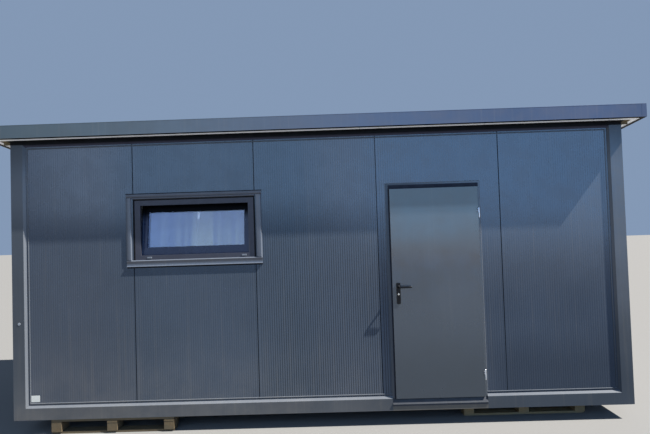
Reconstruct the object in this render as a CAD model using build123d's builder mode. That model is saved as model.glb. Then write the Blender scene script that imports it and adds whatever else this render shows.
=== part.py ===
from build123d import *
import math
import os

os.makedirs("parts", exist_ok=True)

# ---------------------------------------------------------------------------
# Portable site cabin on four timber pallets.
# Millimetres, +Z up. Origin: middle of the plan, on the ground under the
# pallets. The long front with the door and the window looks towards -Y.
#
# Distances are given from the cabin's own front left bottom corner:
# X(d) along the front, Y(d) from the front face towards the rear and
# Z(d) up from the underside of the base frame.
# ---------------------------------------------------------------------------

LENGTH = 6000.0          # frame length, five wall modules
WIDTH = 2400.0           # frame width, two wall modules
MODULE = 1200.0          # wall panel module
SEAM = 4.0               # open joint between two wall panels, at both faces
TONGUE = 14.0            # tongue in the middle of a panel's edge
TONGUE_HALF = 11.0
GROOVE = 11.0            # and the groove it stands in, on the next panel
SLACK = 0.5

PALLET_H = 144.0         # height of a pallet
OVERHANG = 155.0         # roof edge ahead of the frame, all round
PITCH = math.radians(5)  # roof falls to the rear
SLOPE = math.tan(PITCH)
EAVES = 2722.0           # roof underside over the front face of the frame

POST_FLAT = 117.0        # flat face of a corner post
BEVEL_IN = 20.0          # depth of the bevel beside the panels
BEVEL_UP = 22.0          # height of the bevel on the rails
POST_OUT = POST_FLAT + BEVEL_IN
POST_DEEP = 82.0         # inner corner of a post, level with the wall inside

RAIL_FLAT = 114.0        # flat face of a base rail
RAIL_TOP = RAIL_FLAT + BEVEL_UP
RAIL_DEEP = 100.0
TOP_FLAT = 27.0          # flat face of a top rail
TOP_DROP = TOP_FLAT + BEVEL_UP

PANEL_FACE = 22.0        # wall panels stand this far behind the frame's face
PANEL_T = 60.0           # insulated wall panel
PANEL_BACK = PANEL_FACE + PANEL_T

FLOOR_T = 30.0           # floor deck, level with the base rail
ROOF_T = 75.0            # insulated roof panel without its ribs
RIB_H = 35.0
ROOF_MODULE = 1200.0     # roof panels, from the left; the last one is cut

FASCIA_H = 128.0
FASCIA_T = 3.0
FASCIA_LIP = 37.0        # return under the roof edge
ANGLE_LEG = 62.0         # closing angle between wall head and roof

# door: leaf 860 x 2028 overlapping its frame, hung on the right
LEAF_X0, LEAF_X1 = 3722.0, 4582.0
LEAF_Z0, LEAF_Z1 = 113.0, 2141.0
LEAF_FACE = -8.0
LIP_T = 20.0
LEAF_BACK = 34.0
LEAF_STEP = 24.0         # body set in behind the overlapping edge
FRAME_X0, FRAME_X1 = 3690.0, 4604.0
FRAME_TOP = 2194.0
FLANGE_FACE = 17.0
CLEAR_X0, CLEAR_X1 = LEAF_X0 + 18.0, LEAF_X1 - 18.0
CLEAR_TOP = 2123.0
HOLE_X0, HOLE_X1, HOLE_TOP = FRAME_X0 + 8.0, FRAME_X1 - 8.0, FRAME_TOP - 8.0
SILL_Z0, SILL_NOSE, SILL_Z1 = 42.0, 66.0, 105.0
HINGE_X, HINGE_Y = 4589.0, -3.0
HINGE_R = 7.0
HINGE_H = 92.0
HINGE_Z = (321.0, 1886.0)

LEVER_X, LEVER_Z = 3779.0, 1188.0
LOCK_Z = 1118.0
PLATE_Z0, PLATE_Z1 = 1024.0, 1228.0

# window: frame as wide as one module, bottom-hung sash tilted inwards
WIN_X0, WIN_X1 = 1202.0, 2398.0
WIN_Z0, WIN_Z1 = 1522.0, 2120.0
WIN_IN_X0, WIN_IN_X1 = 1267.0, 2334.0
WIN_IN_Z0, WIN_IN_Z1 = 1566.0, 2058.0
WIN_FACE, WIN_BACK = 26.0, 92.0
TRIM_X0, TRIM_X1 = 1132.0, 2468.0
TRIM_Z0, TRIM_Z1 = 1457.0, 2173.0
TRIM_FACE = 8.0
TRIM_STEP = 32.0
SASH_T = 60.0
SASH_Y = 58.0            # outer face of the sash at its foot
SASH_X0, SASH_X1 = 1255.0, 2346.0
SASH_H = 528.0
TILT = 8.0               # degrees
GLASS_X0, GLASS_X1 = 1312.0, 2282.0
GLASS_LOW, GLASS_HIGH = 89.0, 448.0     # up the sash from its foot

# pallets: 1200 along the front, 800 deep; (left end, front edge) of each
PALLETS = [(364.0, 4.0), (4416.0, 185.0), (364.0, 1530.0), (4416.0, 1530.0)]
BOARD_T = 22.0


def X(d):
    return d - LENGTH / 2


def Y(d):
    return d - WIDTH / 2


def Z(d):
    return d + PALLET_H


def roof(y):
    """height of the roof underside, for a distance y behind the front face"""
    return EAVES - SLOPE * y


def finish(piece, name):
    piece.part.label = name
    export_step(piece.part, "parts/" + name + ".step")


def facing_front(y):
    """sketch plane across the front: local x right, local y up, at depth y"""
    return Plane(origin=(0, Y(y), 0), x_dir=(1, 0, 0), z_dir=(0, -1, 0))


def facing_right(x):
    """sketch plane across the cabin: local x to the rear, local y up"""
    return Plane(origin=(X(x), 0, 0), x_dir=(0, 1, 0), z_dir=(1, 0, 0))


def mid(a, b):
    return (a + b) / 2


# --- pallets ---------------------------------------------------------------

DECK = [(0, 120), (170, 100), (340, 120), (530, 100), (680, 120)]
RUNNER_X = (0.0, 545.0, 1100.0)
BLOCK_Y = (0.0, 327.5, 655.0)

with BuildPart() as pallet_bottom_boards:
    with BuildSketch(Plane.XY):
        for px, py in PALLETS:
            for by in BLOCK_Y:
                with Locations((X(px + 600), Y(py + by + 72.5))):
                    Rectangle(1200, 120 if by == 327.5 else 110)
    extrude(amount=BOARD_T)
finish(pallet_bottom_boards, "pallet_bottom_boards")

with BuildPart() as pallet_blocks:
    with BuildSketch(Plane.XY.offset(BOARD_T)):
        for px, py in PALLETS:
            for bx in RUNNER_X:
                for by in BLOCK_Y:
                    with Locations((X(px + bx + 50), Y(py + by + 72.5))):
                        Rectangle(100, 145)
    extrude(amount=78)
finish(pallet_blocks, "pallet_blocks")

with BuildPart() as pallet_stringer_boards:
    with BuildSketch(Plane.XY.offset(BOARD_T + 78)):
        for px, py in PALLETS:
            for bx in RUNNER_X:
                with Locations((X(px + bx + 50), Y(py + 400))):
                    Rectangle(100, 800)
    extrude(amount=BOARD_T)
finish(pallet_stringer_boards, "pallet_stringer_boards")

with BuildPart() as pallet_deck_boards:
    with BuildSketch(Plane.XY.offset(BOARD_T * 2 + 78)):
        for px, py in PALLETS:
            for by, bw in DECK:
                with Locations((X(px + 600), Y(py + by + bw / 2))):
                    Rectangle(1200, bw)
    extrude(amount=BOARD_T)
finish(pallet_deck_boards, "pallet_deck_boards")

# --- corner posts ----------------------------------------------------------
# closed folded section: two flat outer faces, a bevel down to each wall, and
# a splayed inner corner; the head is cut to the fall of the roof


def post_outline(sx, sy):
    """section of a post; sx, sy = 0 at the left / front, 1 at the right / rear"""
    pts = [(0, 0), (POST_FLAT, 0), (POST_OUT, BEVEL_IN), (POST_OUT, POST_DEEP),
           (POST_DEEP, POST_OUT), (BEVEL_IN, POST_OUT), (0, POST_FLAT)]
    out = []
    for a, b in pts:
        a = LENGTH - a if sx else a
        b = WIDTH - b if sy else b
        out.append((X(a), Y(b)))
    return out


def roof_cutter(x0, x1, drop=0.0):
    """prism that fills everything above the roof underside, or above a plane
    drop lower, between x0 and x1"""
    y0, y1 = -400.0, WIDTH + 400.0
    with BuildPart() as above:
        with BuildSketch(facing_right(x0)):
            with BuildLine():
                Polyline((Y(y0), Z(roof(y0) - drop)), (Y(y1), Z(roof(y1) - drop)),
                         (Y(y1), Z(EAVES + 900)), (Y(y0), Z(EAVES + 900)), close=True)
            make_face()
        extrude(amount=x1 - x0)
    return above.part


ABOVE_ROOF = roof_cutter(-400.0, LENGTH + 400.0)

with BuildPart() as corner_posts:
    for sx, sy in ((0, 0), (1, 0), (0, 1), (1, 1)):
        with BuildSketch(Plane.XY.offset(Z(0))):
            with BuildLine():
                Polyline(*post_outline(sx, sy), close=True)
            make_face()
        extrude(amount=EAVES + 20)
    add(ABOVE_ROOF, mode=Mode.SUBTRACT)
finish(corner_posts, "corner_posts")

# --- base rails ------------------------------------------------------------
# folded channel with a flat face and a bevel up to the wall panels; the front
# one is cut down at the doorway for the sill

RAIL_FRONT = [(Y(0), Z(0)), (Y(RAIL_DEEP), Z(0)), (Y(RAIL_DEEP), Z(RAIL_TOP)),
              (Y(BEVEL_IN), Z(RAIL_TOP)), (Y(0), Z(RAIL_FLAT))]

with BuildPart() as base_rail_front_left:
    with BuildSketch(facing_right(POST_FLAT)):
        with BuildLine():
            Polyline(*RAIL_FRONT, close=True)
        make_face()
    extrude(amount=FRAME_X0 - POST_FLAT)
    add(corner_posts.part, mode=Mode.SUBTRACT)
finish(base_rail_front_left, "base_rail_front_left")

with BuildPart() as base_rail_front_right:
    with BuildSketch(facing_right(FRAME_X1)):
        with BuildLine():
            Polyline(*RAIL_FRONT, close=True)
        make_face()
    extrude(amount=LENGTH - POST_FLAT - FRAME_X1)
    add(corner_posts.part, mode=Mode.SUBTRACT)
finish(base_rail_front_right, "base_rail_front_right")

# lower under the doorway, where the sill lies on it
with BuildPart() as base_rail_under_door:
    with BuildSketch(Plane.XY.offset(Z(0))):
        with Locations((X(mid(FRAME_X0, FRAME_X1)), Y(RAIL_DEEP / 2))):
            Rectangle(FRAME_X1 - FRAME_X0, RAIL_DEEP)
    extrude(amount=SILL_Z0)
finish(base_rail_under_door, "base_rail_under_door")

with BuildPart() as base_rail_rear:
    with BuildSketch(facing_right(POST_FLAT)):
        with BuildLine():
            Polyline((Y(WIDTH), Z(0)), (Y(WIDTH - RAIL_DEEP), Z(0)),
                     (Y(WIDTH - RAIL_DEEP), Z(RAIL_TOP)),
                     (Y(WIDTH - BEVEL_IN), Z(RAIL_TOP)), (Y(WIDTH), Z(RAIL_FLAT)), close=True)
        make_face()
    extrude(amount=LENGTH - 2 * POST_FLAT)
    add(corner_posts.part, mode=Mode.SUBTRACT)
finish(base_rail_rear, "base_rail_rear")


def side(s, d):
    """distance d in from the left end (s = 0) or from the right end (s = 1)"""
    return X(LENGTH - d) if s else X(d)


with BuildPart() as base_rails_sides:
    for s in (0, 1):
        with BuildSketch(facing_front(POST_FLAT)):
            with BuildLine():
                Polyline((side(s, 0), Z(0)), (side(s, RAIL_DEEP), Z(0)),
                         (side(s, RAIL_DEEP), Z(RAIL_TOP)),
                         (side(s, BEVEL_IN), Z(RAIL_TOP)), (side(s, 0), Z(RAIL_FLAT)), close=True)
            make_face()
        extrude(amount=-(WIDTH - 2 * POST_FLAT))
    add(corner_posts.part, mode=Mode.SUBTRACT)
finish(base_rails_sides, "base_rails_sides")

# --- floor -----------------------------------------------------------------

with BuildPart() as floor_joists:
    with BuildSketch(Plane.XY.offset(Z(20))):
        for i in range(9):
            with Locations((X(600 + 600 * i), Y(WIDTH / 2))):
                Rectangle(50, WIDTH - 2 * RAIL_DEEP)
    extrude(amount=RAIL_TOP - FLOOR_T - 20)
finish(floor_joists, "floor_joists")

with BuildPart() as floor_deck:
    with BuildSketch(Plane.XY.offset(Z(RAIL_TOP - FLOOR_T))):
        with Locations((X(LENGTH / 2), Y(WIDTH / 2))):
            Rectangle(LENGTH - 2 * RAIL_DEEP, WIDTH - 2 * RAIL_DEEP)
    extrude(amount=FLOOR_T)
    add(corner_posts.part, mode=Mode.SUBTRACT)
finish(floor_deck, "floor_deck")

# --- top rails -------------------------------------------------------------

FRONT_HEAD = EAVES - TOP_DROP               # underside of the front top rail
REAR_HEAD = roof(WIDTH) - TOP_DROP          # and of the rear one

with BuildPart() as top_rail_front:
    with BuildSketch(facing_right(POST_FLAT)):
        with BuildLine():
            Polyline((Y(0), Z(FRONT_HEAD + BEVEL_UP)), (Y(BEVEL_IN), Z(FRONT_HEAD)),
                     (Y(PANEL_BACK), Z(FRONT_HEAD)), (Y(PANEL_BACK), Z(roof(PANEL_BACK))),
                     (Y(0), Z(roof(0))), close=True)
        make_face()
    extrude(amount=LENGTH - 2 * POST_FLAT)
    add(corner_posts.part, mode=Mode.SUBTRACT)
finish(top_rail_front, "top_rail_front")

with BuildPart() as top_rail_rear:
    with BuildSketch(facing_right(POST_FLAT)):
        with BuildLine():
            Polyline((Y(WIDTH), Z(REAR_HEAD + BEVEL_UP)), (Y(WIDTH - BEVEL_IN), Z(REAR_HEAD)),
                     (Y(WIDTH - PANEL_BACK), Z(REAR_HEAD)),
                     (Y(WIDTH - PANEL_BACK), Z(roof(WIDTH - PANEL_BACK))),
                     (Y(WIDTH), Z(roof(WIDTH))), close=True)
        make_face()
    extrude(amount=LENGTH - 2 * POST_FLAT)
    add(corner_posts.part, mode=Mode.SUBTRACT)
finish(top_rail_rear, "top_rail_rear")

SIDE_RUN = WIDTH - 2 * POST_FLAT
DOWN_ROOF = (0, math.cos(PITCH), -math.sin(PITCH))

with BuildPart() as top_rails_sides:
    head = roof(POST_FLAT)
    for s in (0, 1):
        with BuildSketch(facing_front(POST_FLAT)):
            with BuildLine():
                Polyline((side(s, 0), Z(head)), (side(s, PANEL_BACK), Z(head)),
                         (side(s, PANEL_BACK), Z(head - TOP_DROP)),
                         (side(s, BEVEL_IN), Z(head - TOP_DROP)),
                         (side(s, 0), Z(head - TOP_FLAT)), close=True)
            make_face()
        extrude(amount=SIDE_RUN / math.cos(PITCH), dir=DOWN_ROOF)
    add(corner_posts.part, mode=Mode.SUBTRACT)
finish(top_rails_sides, "top_rails_sides")

# --- walls -----------------------------------------------------------------
# insulated panels set into the frame; each has a tongue on one upright edge,
# which stands in the groove of the next one


def seam(n):
    return MODULE * n


HALF = SEAM / 2


def panel_outline(a, b, outer, inner, groove=False, tongue=False):
    """plan section from a to b along the wall; outer and inner are depths"""
    m = mid(outer, inner)
    t, g = TONGUE_HALF, TONGUE_HALF + SLACK
    pts = [(a, outer), (b, outer)]
    if tongue:
        pts += [(b, m - t), (b + TONGUE, m - t), (b + TONGUE, m + t), (b, m + t)]
    pts += [(b, inner), (a, inner)]
    if groove:
        pts += [(a, m + g), (a + GROOVE, m + g), (a + GROOVE, m - g), (a, m - g)]
    return pts


def on_front(pts):
    return [(X(s), Y(d)) for s, d in pts]


def on_side(pts):
    """the same for a side wall: s runs to the rear, the depth across"""
    return [(X(d), Y(s)) for s, d in pts]


with BuildPart() as front_panel_1:
    with BuildSketch(Plane.XY.offset(Z(RAIL_TOP))):
        with BuildLine():
            Polyline(*on_front(panel_outline(POST_OUT, seam(1) - HALF, PANEL_FACE, PANEL_BACK)), close=True)
        make_face()
    extrude(amount=FRONT_HEAD - RAIL_TOP)
    # the tongue stops at the window
    for z0, z1 in ((RAIL_TOP, WIN_Z0 - 2), (WIN_Z1 + 2, FRONT_HEAD)):
        with BuildSketch(Plane.XY.offset(Z(z0))):
            with Locations((X(seam(1) - HALF + TONGUE / 2), Y(mid(PANEL_FACE, PANEL_BACK)))):
                Rectangle(TONGUE, 2 * TONGUE_HALF)
        extrude(amount=z1 - z0)
finish(front_panel_1, "front_panel_1")

# two pieces, below and above the window
with BuildPart() as front_panel_2:
    for z0, z1 in ((RAIL_TOP, WIN_Z0), (WIN_Z1, FRONT_HEAD)):
        with BuildSketch(Plane.XY.offset(Z(z0))):
            with BuildLine():
                Polyline(*on_front(panel_outline(seam(1) + HALF, seam(2) - HALF, PANEL_FACE, PANEL_BACK,
                                                 groove=True, tongue=True)), close=True)
            make_face()
        extrude(amount=z1 - z0)
finish(front_panel_2, "front_panel_2")

with BuildPart() as front_panel_3:
    with BuildSketch(Plane.XY.offset(Z(RAIL_TOP))):
        with BuildLine():
            Polyline(*on_front(panel_outline(seam(2) + HALF, seam(3) - HALF, PANEL_FACE, PANEL_BACK,
                                             groove=True, tongue=True)), close=True)
        make_face()
    extrude(amount=FRONT_HEAD - RAIL_TOP)
finish(front_panel_3, "front_panel_3")

with BuildPart() as front_panel_4_left:
    with BuildSketch(Plane.XY.offset(Z(RAIL_TOP))):
        with BuildLine():
            Polyline(*on_front(panel_outline(seam(3) + HALF, HOLE_X0, PANEL_FACE, PANEL_BACK,
                                             groove=True)), close=True)
        make_face()
    extrude(amount=FRONT_HEAD - RAIL_TOP)
finish(front_panel_4_left, "front_panel_4_left")

with BuildPart() as front_panel_4_right:
    with BuildSketch(Plane.XY.offset(Z(RAIL_TOP))):
        with BuildLine():
            Polyline(*on_front(panel_outline(HOLE_X1, seam(4) - HALF, PANEL_FACE, PANEL_BACK,
                                             tongue=True)), close=True)
        make_face()
    extrude(amount=FRONT_HEAD - RAIL_TOP)
finish(front_panel_4_right, "front_panel_4_right")

with BuildPart() as front_panel_4_over_door:
    with BuildSketch(facing_front(PANEL_FACE)):
        with Locations((X(mid(HOLE_X0, HOLE_X1)), Z(mid(HOLE_TOP, FRONT_HEAD)))):
            Rectangle(HOLE_X1 - HOLE_X0, FRONT_HEAD - HOLE_TOP)
    extrude(amount=-PANEL_T)
finish(front_panel_4_over_door, "front_panel_4_over_door")

with BuildPart() as front_panel_5:
    with BuildSketch(Plane.XY.offset(Z(RAIL_TOP))):
        with BuildLine():
            Polyline(*on_front(panel_outline(seam(4) + HALF, LENGTH - POST_OUT, PANEL_FACE, PANEL_BACK,
                                             groove=True)), close=True)
        make_face()
    extrude(amount=FRONT_HEAD - RAIL_TOP)
finish(front_panel_5, "front_panel_5")

with BuildPart() as rear_wall_panels:
    with BuildSketch(Plane.XY.offset(Z(RAIL_TOP))):
        for i in range(5):
            a = POST_OUT if i == 0 else seam(i) + HALF
            b = LENGTH - POST_OUT if i == 4 else seam(i + 1) - HALF
            with BuildLine():
                Polyline(*on_front(panel_outline(a, b, WIDTH - PANEL_FACE, WIDTH - PANEL_BACK,
                                                 groove=False, tongue=False)), close=True)
            make_face()
        for i in range(1, 5):
            with Locations((X(seam(i) + HALF + GROOVE / 2), Y(WIDTH - mid(PANEL_FACE, PANEL_BACK)))):
                Rectangle(GROOVE, 2 * (TONGUE_HALF + SLACK), mode=Mode.SUBTRACT)
        for i in range(1, 5):
            with Locations((X(seam(i) - HALF + TONGUE / 2), Y(WIDTH - mid(PANEL_FACE, PANEL_BACK)))):
                Rectangle(TONGUE, 2 * TONGUE_HALF)
    extrude(amount=REAR_HEAD - RAIL_TOP)
finish(rear_wall_panels, "rear_wall_panels")

ABOVE_SIDE_HEADS = roof_cutter(-400.0, LENGTH + 400.0, TOP_DROP)

with BuildPart() as left_wall_panels:
    with BuildSketch(Plane.XY.offset(Z(RAIL_TOP))):
        with BuildLine():
            Polyline(*on_side(panel_outline(POST_OUT, seam(1) - HALF, PANEL_FACE, PANEL_BACK,
                                            tongue=True)), close=True)
        make_face()
        with BuildLine():
            Polyline(*on_side(panel_outline(seam(1) + HALF, WIDTH - POST_OUT, PANEL_FACE, PANEL_BACK,
                                            groove=True)), close=True)
        make_face()
    extrude(amount=EAVES - RAIL_TOP)
    add(ABOVE_SIDE_HEADS, mode=Mode.SUBTRACT)
finish(left_wall_panels, "left_wall_panels")

with BuildPart() as right_wall_panels:
    with BuildSketch(Plane.XY.offset(Z(RAIL_TOP))):
        with BuildLine():
            Polyline(*on_side(panel_outline(POST_OUT, seam(1) - HALF, LENGTH - PANEL_FACE,
                                            LENGTH - PANEL_BACK)), close=True)
        make_face()
        with BuildLine():
            Polyline(*on_side(panel_outline(seam(1) + HALF, WIDTH - POST_OUT, LENGTH - PANEL_FACE,
                                            LENGTH - PANEL_BACK)), close=True)
        make_face()
        with Locations((X(LENGTH - mid(PANEL_FACE, PANEL_BACK)), Y(seam(1) + HALF + GROOVE / 2))):
            Rectangle(2 * (TONGUE_HALF + SLACK), GROOVE, mode=Mode.SUBTRACT)
        with Locations((X(LENGTH - mid(PANEL_FACE, PANEL_BACK)), Y(seam(1) - HALF + TONGUE / 2))):
            Rectangle(2 * TONGUE_HALF, TONGUE)
    extrude(amount=EAVES - RAIL_TOP)
    add(ABOVE_SIDE_HEADS, mode=Mode.SUBTRACT)
finish(right_wall_panels, "right_wall_panels")

# --- roof ------------------------------------------------------------------
# insulated panels laid down the slope, each with raised ribs, inside a fascia

ROOF_Y0, ROOF_Y1 = -OVERHANG + FASCIA_T, WIDTH + OVERHANG - FASCIA_T
ROOF_X0, ROOF_X1 = -OVERHANG + FASCIA_T, LENGTH + OVERHANG - FASCIA_T
ROOF_RISE = ROOF_T / math.cos(PITCH)
RIB_RISE = RIB_H / math.cos(PITCH)
ROOF_JOINTS = [ROOF_X0 + ROOF_MODULE * i for i in range(6)] + [ROOF_X1]

with BuildPart() as roof_panels:
    with BuildSketch(facing_front(ROOF_Y0)):
        low = Z(roof(ROOF_Y0))
        for i in range(6):
            a = ROOF_JOINTS[i] + (1.0 if i else 0.0)
            b = ROOF_JOINTS[i + 1] - (1.0 if i < 5 else 0.0)
            top = low + ROOF_RISE
            crest = top + RIB_RISE
            half_up = mid(low, top)
            pts = [(X(a), low), (X(b), low)]
            if i < 5:
                pts += [(X(b), half_up - 12), (X(b + 10), half_up - 12),
                        (X(b + 10), half_up + 12), (X(b), half_up + 12)]
            pts += [(X(b), top)]
            ribs = [200.0, 600.0, 1000.0] if i < 5 else [(b - a) / 2]
            for r in reversed(ribs):
                c = a + r
                pts += [(X(c + 40), top), (X(c + 20), crest), (X(c - 20), crest), (X(c - 40), top)]
            pts += [(X(a), top)]
            if i:
                pts += [(X(a), half_up + 12.5), (X(a + 9), half_up + 12.5),
                        (X(a + 9), half_up - 12.5), (X(a), half_up - 12.5)]
            with BuildLine():
                Polyline(*pts, close=True)
            make_face()
    extrude(amount=(ROOF_Y1 - ROOF_Y0) / math.cos(PITCH), dir=DOWN_ROOF)
finish(roof_panels, "roof_panels")

# fascia: a folded sheet with a return under the roof edge and a hem over it
FRONT_LOW = roof(-OVERHANG) - FASCIA_T
REAR_LOW = roof(WIDTH + OVERHANG) - FASCIA_T
LIP_Y = FASCIA_LIP

with BuildPart() as fascia_front:
    with BuildSketch(facing_right(-OVERHANG)):
        y0 = -OVERHANG
        with BuildLine():
            Polyline((Y(y0), Z(FRONT_LOW)),
                     (Y(y0 + LIP_Y), Z(roof(y0 + LIP_Y) - FASCIA_T)),
                     (Y(y0 + LIP_Y), Z(roof(y0 + LIP_Y))),
                     (Y(y0 + FASCIA_T), Z(roof(y0 + FASCIA_T))),
                     (Y(y0 + FASCIA_T), Z(FRONT_LOW + FASCIA_H - FASCIA_T)),
                     (Y(y0 + 40), Z(FRONT_LOW + FASCIA_H - FASCIA_T)),
                     (Y(y0 + 40), Z(FRONT_LOW + FASCIA_H)),
                     (Y(y0), Z(FRONT_LOW + FASCIA_H)), close=True)
        make_face()
    extrude(amount=LENGTH + 2 * OVERHANG)
finish(fascia_front, "fascia_front")

with BuildPart() as fascia_rear:
    with BuildSketch(facing_right(-OVERHANG)):
        y0 = WIDTH + OVERHANG
        with BuildLine():
            Polyline((Y(y0), Z(REAR_LOW)),
                     (Y(y0 - LIP_Y), Z(roof(y0 - LIP_Y) - FASCIA_T)),
                     (Y(y0 - LIP_Y), Z(roof(y0 - LIP_Y))),
                     (Y(y0 - FASCIA_T), Z(roof(y0 - FASCIA_T))),
                     (Y(y0 - FASCIA_T), Z(REAR_LOW + FASCIA_H - FASCIA_T)),
                     (Y(y0 - 40), Z(REAR_LOW + FASCIA_H - FASCIA_T)),
                     (Y(y0 - 40), Z(REAR_LOW + FASCIA_H)),
                     (Y(y0), Z(REAR_LOW + FASCIA_H)), close=True)
        make_face()
    extrude(amount=LENGTH + 2 * OVERHANG)
finish(fascia_rear, "fascia_rear")

END_RUN = (WIDTH + 2 * OVERHANG) / math.cos(PITCH)

with BuildPart() as fascia_sides:
    for s in (0, 1):
        with BuildSketch(facing_front(-OVERHANG)):
            o = -OVERHANG
            with BuildLine():
                Polyline((side(s, o), Z(FRONT_LOW)), (side(s, o + LIP_Y), Z(FRONT_LOW)),
                         (side(s, o + LIP_Y), Z(FRONT_LOW + FASCIA_T)),
                         (side(s, o + FASCIA_T), Z(FRONT_LOW + FASCIA_T)),
                         (side(s, o + FASCIA_T), Z(FRONT_LOW + FASCIA_H - FASCIA_T)),
                         (side(s, o + 40), Z(FRONT_LOW + FASCIA_H - FASCIA_T)),
                         (side(s, o + 40), Z(FRONT_LOW + FASCIA_H)),
                         (side(s, o), Z(FRONT_LOW + FASCIA_H)), close=True)
            make_face()
        extrude(amount=END_RUN, dir=DOWN_ROOF)
    add(fascia_front.part, mode=Mode.SUBTRACT)
    add(fascia_rear.part, mode=Mode.SUBTRACT)
finish(fascia_sides, "fascia_sides")

# closing angles where the wall head meets the roof: one leg under the roof,
# one leg down the rail, 2 mm sheet
ANGLE_T = 2.0

with BuildPart() as eaves_angles:
    with BuildSketch(facing_right(-ANGLE_LEG)):
        with BuildLine():
            Polyline((Y(-ANGLE_LEG), Z(roof(-ANGLE_LEG))), (Y(-ANGLE_LEG), Z(roof(-ANGLE_LEG) - ANGLE_T)),
                     (Y(-ANGLE_T), Z(roof(-ANGLE_T) - ANGLE_T)), (Y(-ANGLE_T), Z(EAVES - 26)),
                     (Y(0), Z(EAVES - 26)), (Y(0), Z(roof(0))), close=True)
        make_face()
        w = WIDTH
        with BuildLine():
            Polyline((Y(w + ANGLE_LEG), Z(roof(w + ANGLE_LEG))),
                     (Y(w + ANGLE_LEG), Z(roof(w + ANGLE_LEG) - ANGLE_T)),
                     (Y(w + ANGLE_T), Z(roof(w + ANGLE_T) - ANGLE_T)),
                     (Y(w + ANGLE_T), Z(roof(w) - 26)),
                     (Y(w), Z(roof(w) - 26)), (Y(w), Z(roof(w))), close=True)
        make_face()
    extrude(amount=LENGTH + 2 * ANGLE_LEG)
    for s in (0, 1):
        with BuildSketch(facing_front(0)):
            with BuildLine():
                Polyline((side(s, -ANGLE_LEG), Z(EAVES)), (side(s, -ANGLE_LEG), Z(EAVES - ANGLE_T)),
                         (side(s, -ANGLE_T), Z(EAVES - ANGLE_T)), (side(s, -ANGLE_T), Z(EAVES - 26)),
                         (side(s, 0), Z(EAVES - 26)), (side(s, 0), Z(EAVES)), close=True)
            make_face()
        extrude(amount=WIDTH / math.cos(PITCH), dir=DOWN_ROOF)
finish(eaves_angles, "eaves_angles")

# --- window ----------------------------------------------------------------

with BuildPart() as window_trim:
    with BuildSketch(facing_front(TRIM_FACE)):
        with Locations((X(mid(TRIM_X0, TRIM_X1)), Z(mid(TRIM_Z0, TRIM_Z1)))):
            Rectangle(TRIM_X1 - TRIM_X0, TRIM_Z1 - TRIM_Z0)
        with Locations((X(mid(WIN_X0, WIN_X1)), Z(mid(WIN_Z0, WIN_Z1)))):
            Rectangle(WIN_X1 - WIN_X0, WIN_Z1 - WIN_Z0, mode=Mode.SUBTRACT)
    extrude(amount=-(PANEL_FACE - TRIM_FACE))
    outer = window_trim.faces().filter_by(Axis.Y).sort_by(Axis.Y)[0].outer_wire().edges()
    chamfer(outer, 8)
    # beside the window frame the sheet steps back
    with BuildSketch(facing_front(TRIM_FACE)):
        for x in (WIN_X0 - TRIM_STEP / 2, WIN_X1 + TRIM_STEP / 2):
            with Locations((X(x), Z(mid(WIN_Z0, WIN_Z1)))):
                Rectangle(TRIM_STEP, WIN_Z1 - WIN_Z0)
    extrude(amount=-10, mode=Mode.SUBTRACT)
finish(window_trim, "window_trim")

with BuildPart() as window_frame:
    with BuildSketch(facing_front(WIN_FACE)):
        with Locations((X(mid(WIN_X0, WIN_X1)), Z(mid(WIN_Z0, WIN_Z1)))):
            Rectangle(WIN_X1 - WIN_X0, WIN_Z1 - WIN_Z0)
        with Locations((X(mid(WIN_IN_X0, WIN_IN_X1)), Z(mid(WIN_IN_Z0, WIN_IN_Z1)))):
            Rectangle(WIN_IN_X1 - WIN_IN_X0, WIN_IN_Z1 - WIN_IN_Z0, mode=Mode.SUBTRACT)
    extrude(amount=-(SASH_Y - 4 - WIN_FACE))
    # the rebate behind, where the sash shuts
    with BuildSketch(facing_front(SASH_Y - 4)):
        with Locations((X(mid(WIN_X0, WIN_X1)), Z(mid(WIN_Z0, WIN_Z1)))):
            Rectangle(WIN_X1 - WIN_X0, WIN_Z1 - WIN_Z0)
        with Locations((X(mid(SASH_X0, SASH_X1)), Z(mid(WIN_IN_Z0 - 24, WIN_IN_Z1 + 20)))):
            Rectangle(SASH_X1 - SASH_X0 + 16, WIN_IN_Z1 - WIN_IN_Z0 + 44, mode=Mode.SUBTRACT)
    extrude(amount=-(WIN_BACK - SASH_Y + 4))
finish(window_frame, "window_frame")

# the sash leans inwards about its foot
SASH_Z0 = WIN_IN_Z0 - 12
SASH_PLANE = Plane(origin=(0, Y(SASH_Y), Z(SASH_Z0)), x_dir=(1, 0, 0), z_dir=(0, -1, 0)).rotated((-TILT, 0, 0))

with BuildPart() as window_sash:
    with BuildSketch(SASH_PLANE):
        with Locations((X(mid(SASH_X0, SASH_X1)), SASH_H / 2)):
            Rectangle(SASH_X1 - SASH_X0, SASH_H)
        with Locations((X(mid(GLASS_X0, GLASS_X1)), mid(GLASS_LOW, GLASS_HIGH))):
            Rectangle(GLASS_X1 - GLASS_X0, GLASS_HIGH - GLASS_LOW, mode=Mode.SUBTRACT)
    extrude(amount=-SASH_T)
    with BuildSketch(SASH_PLANE.offset(-16)):
        with Locations((X(mid(GLASS_X0, GLASS_X1)), mid(GLASS_LOW, GLASS_HIGH))):
            Rectangle(GLASS_X1 - GLASS_X0 + 24, GLASS_HIGH - GLASS_LOW + 24)
    extrude(amount=-24, mode=Mode.SUBTRACT)
finish(window_sash, "window_sash")

with BuildPart() as window_glass:
    with BuildSketch(SASH_PLANE.offset(-16)):
        with Locations((X(mid(GLASS_X0, GLASS_X1)), mid(GLASS_LOW, GLASS_HIGH))):
            Rectangle(GLASS_X1 - GLASS_X0 + 24, GLASS_HIGH - GLASS_LOW + 24)
    extrude(amount=-24)
finish(window_glass, "window_glass")

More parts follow.
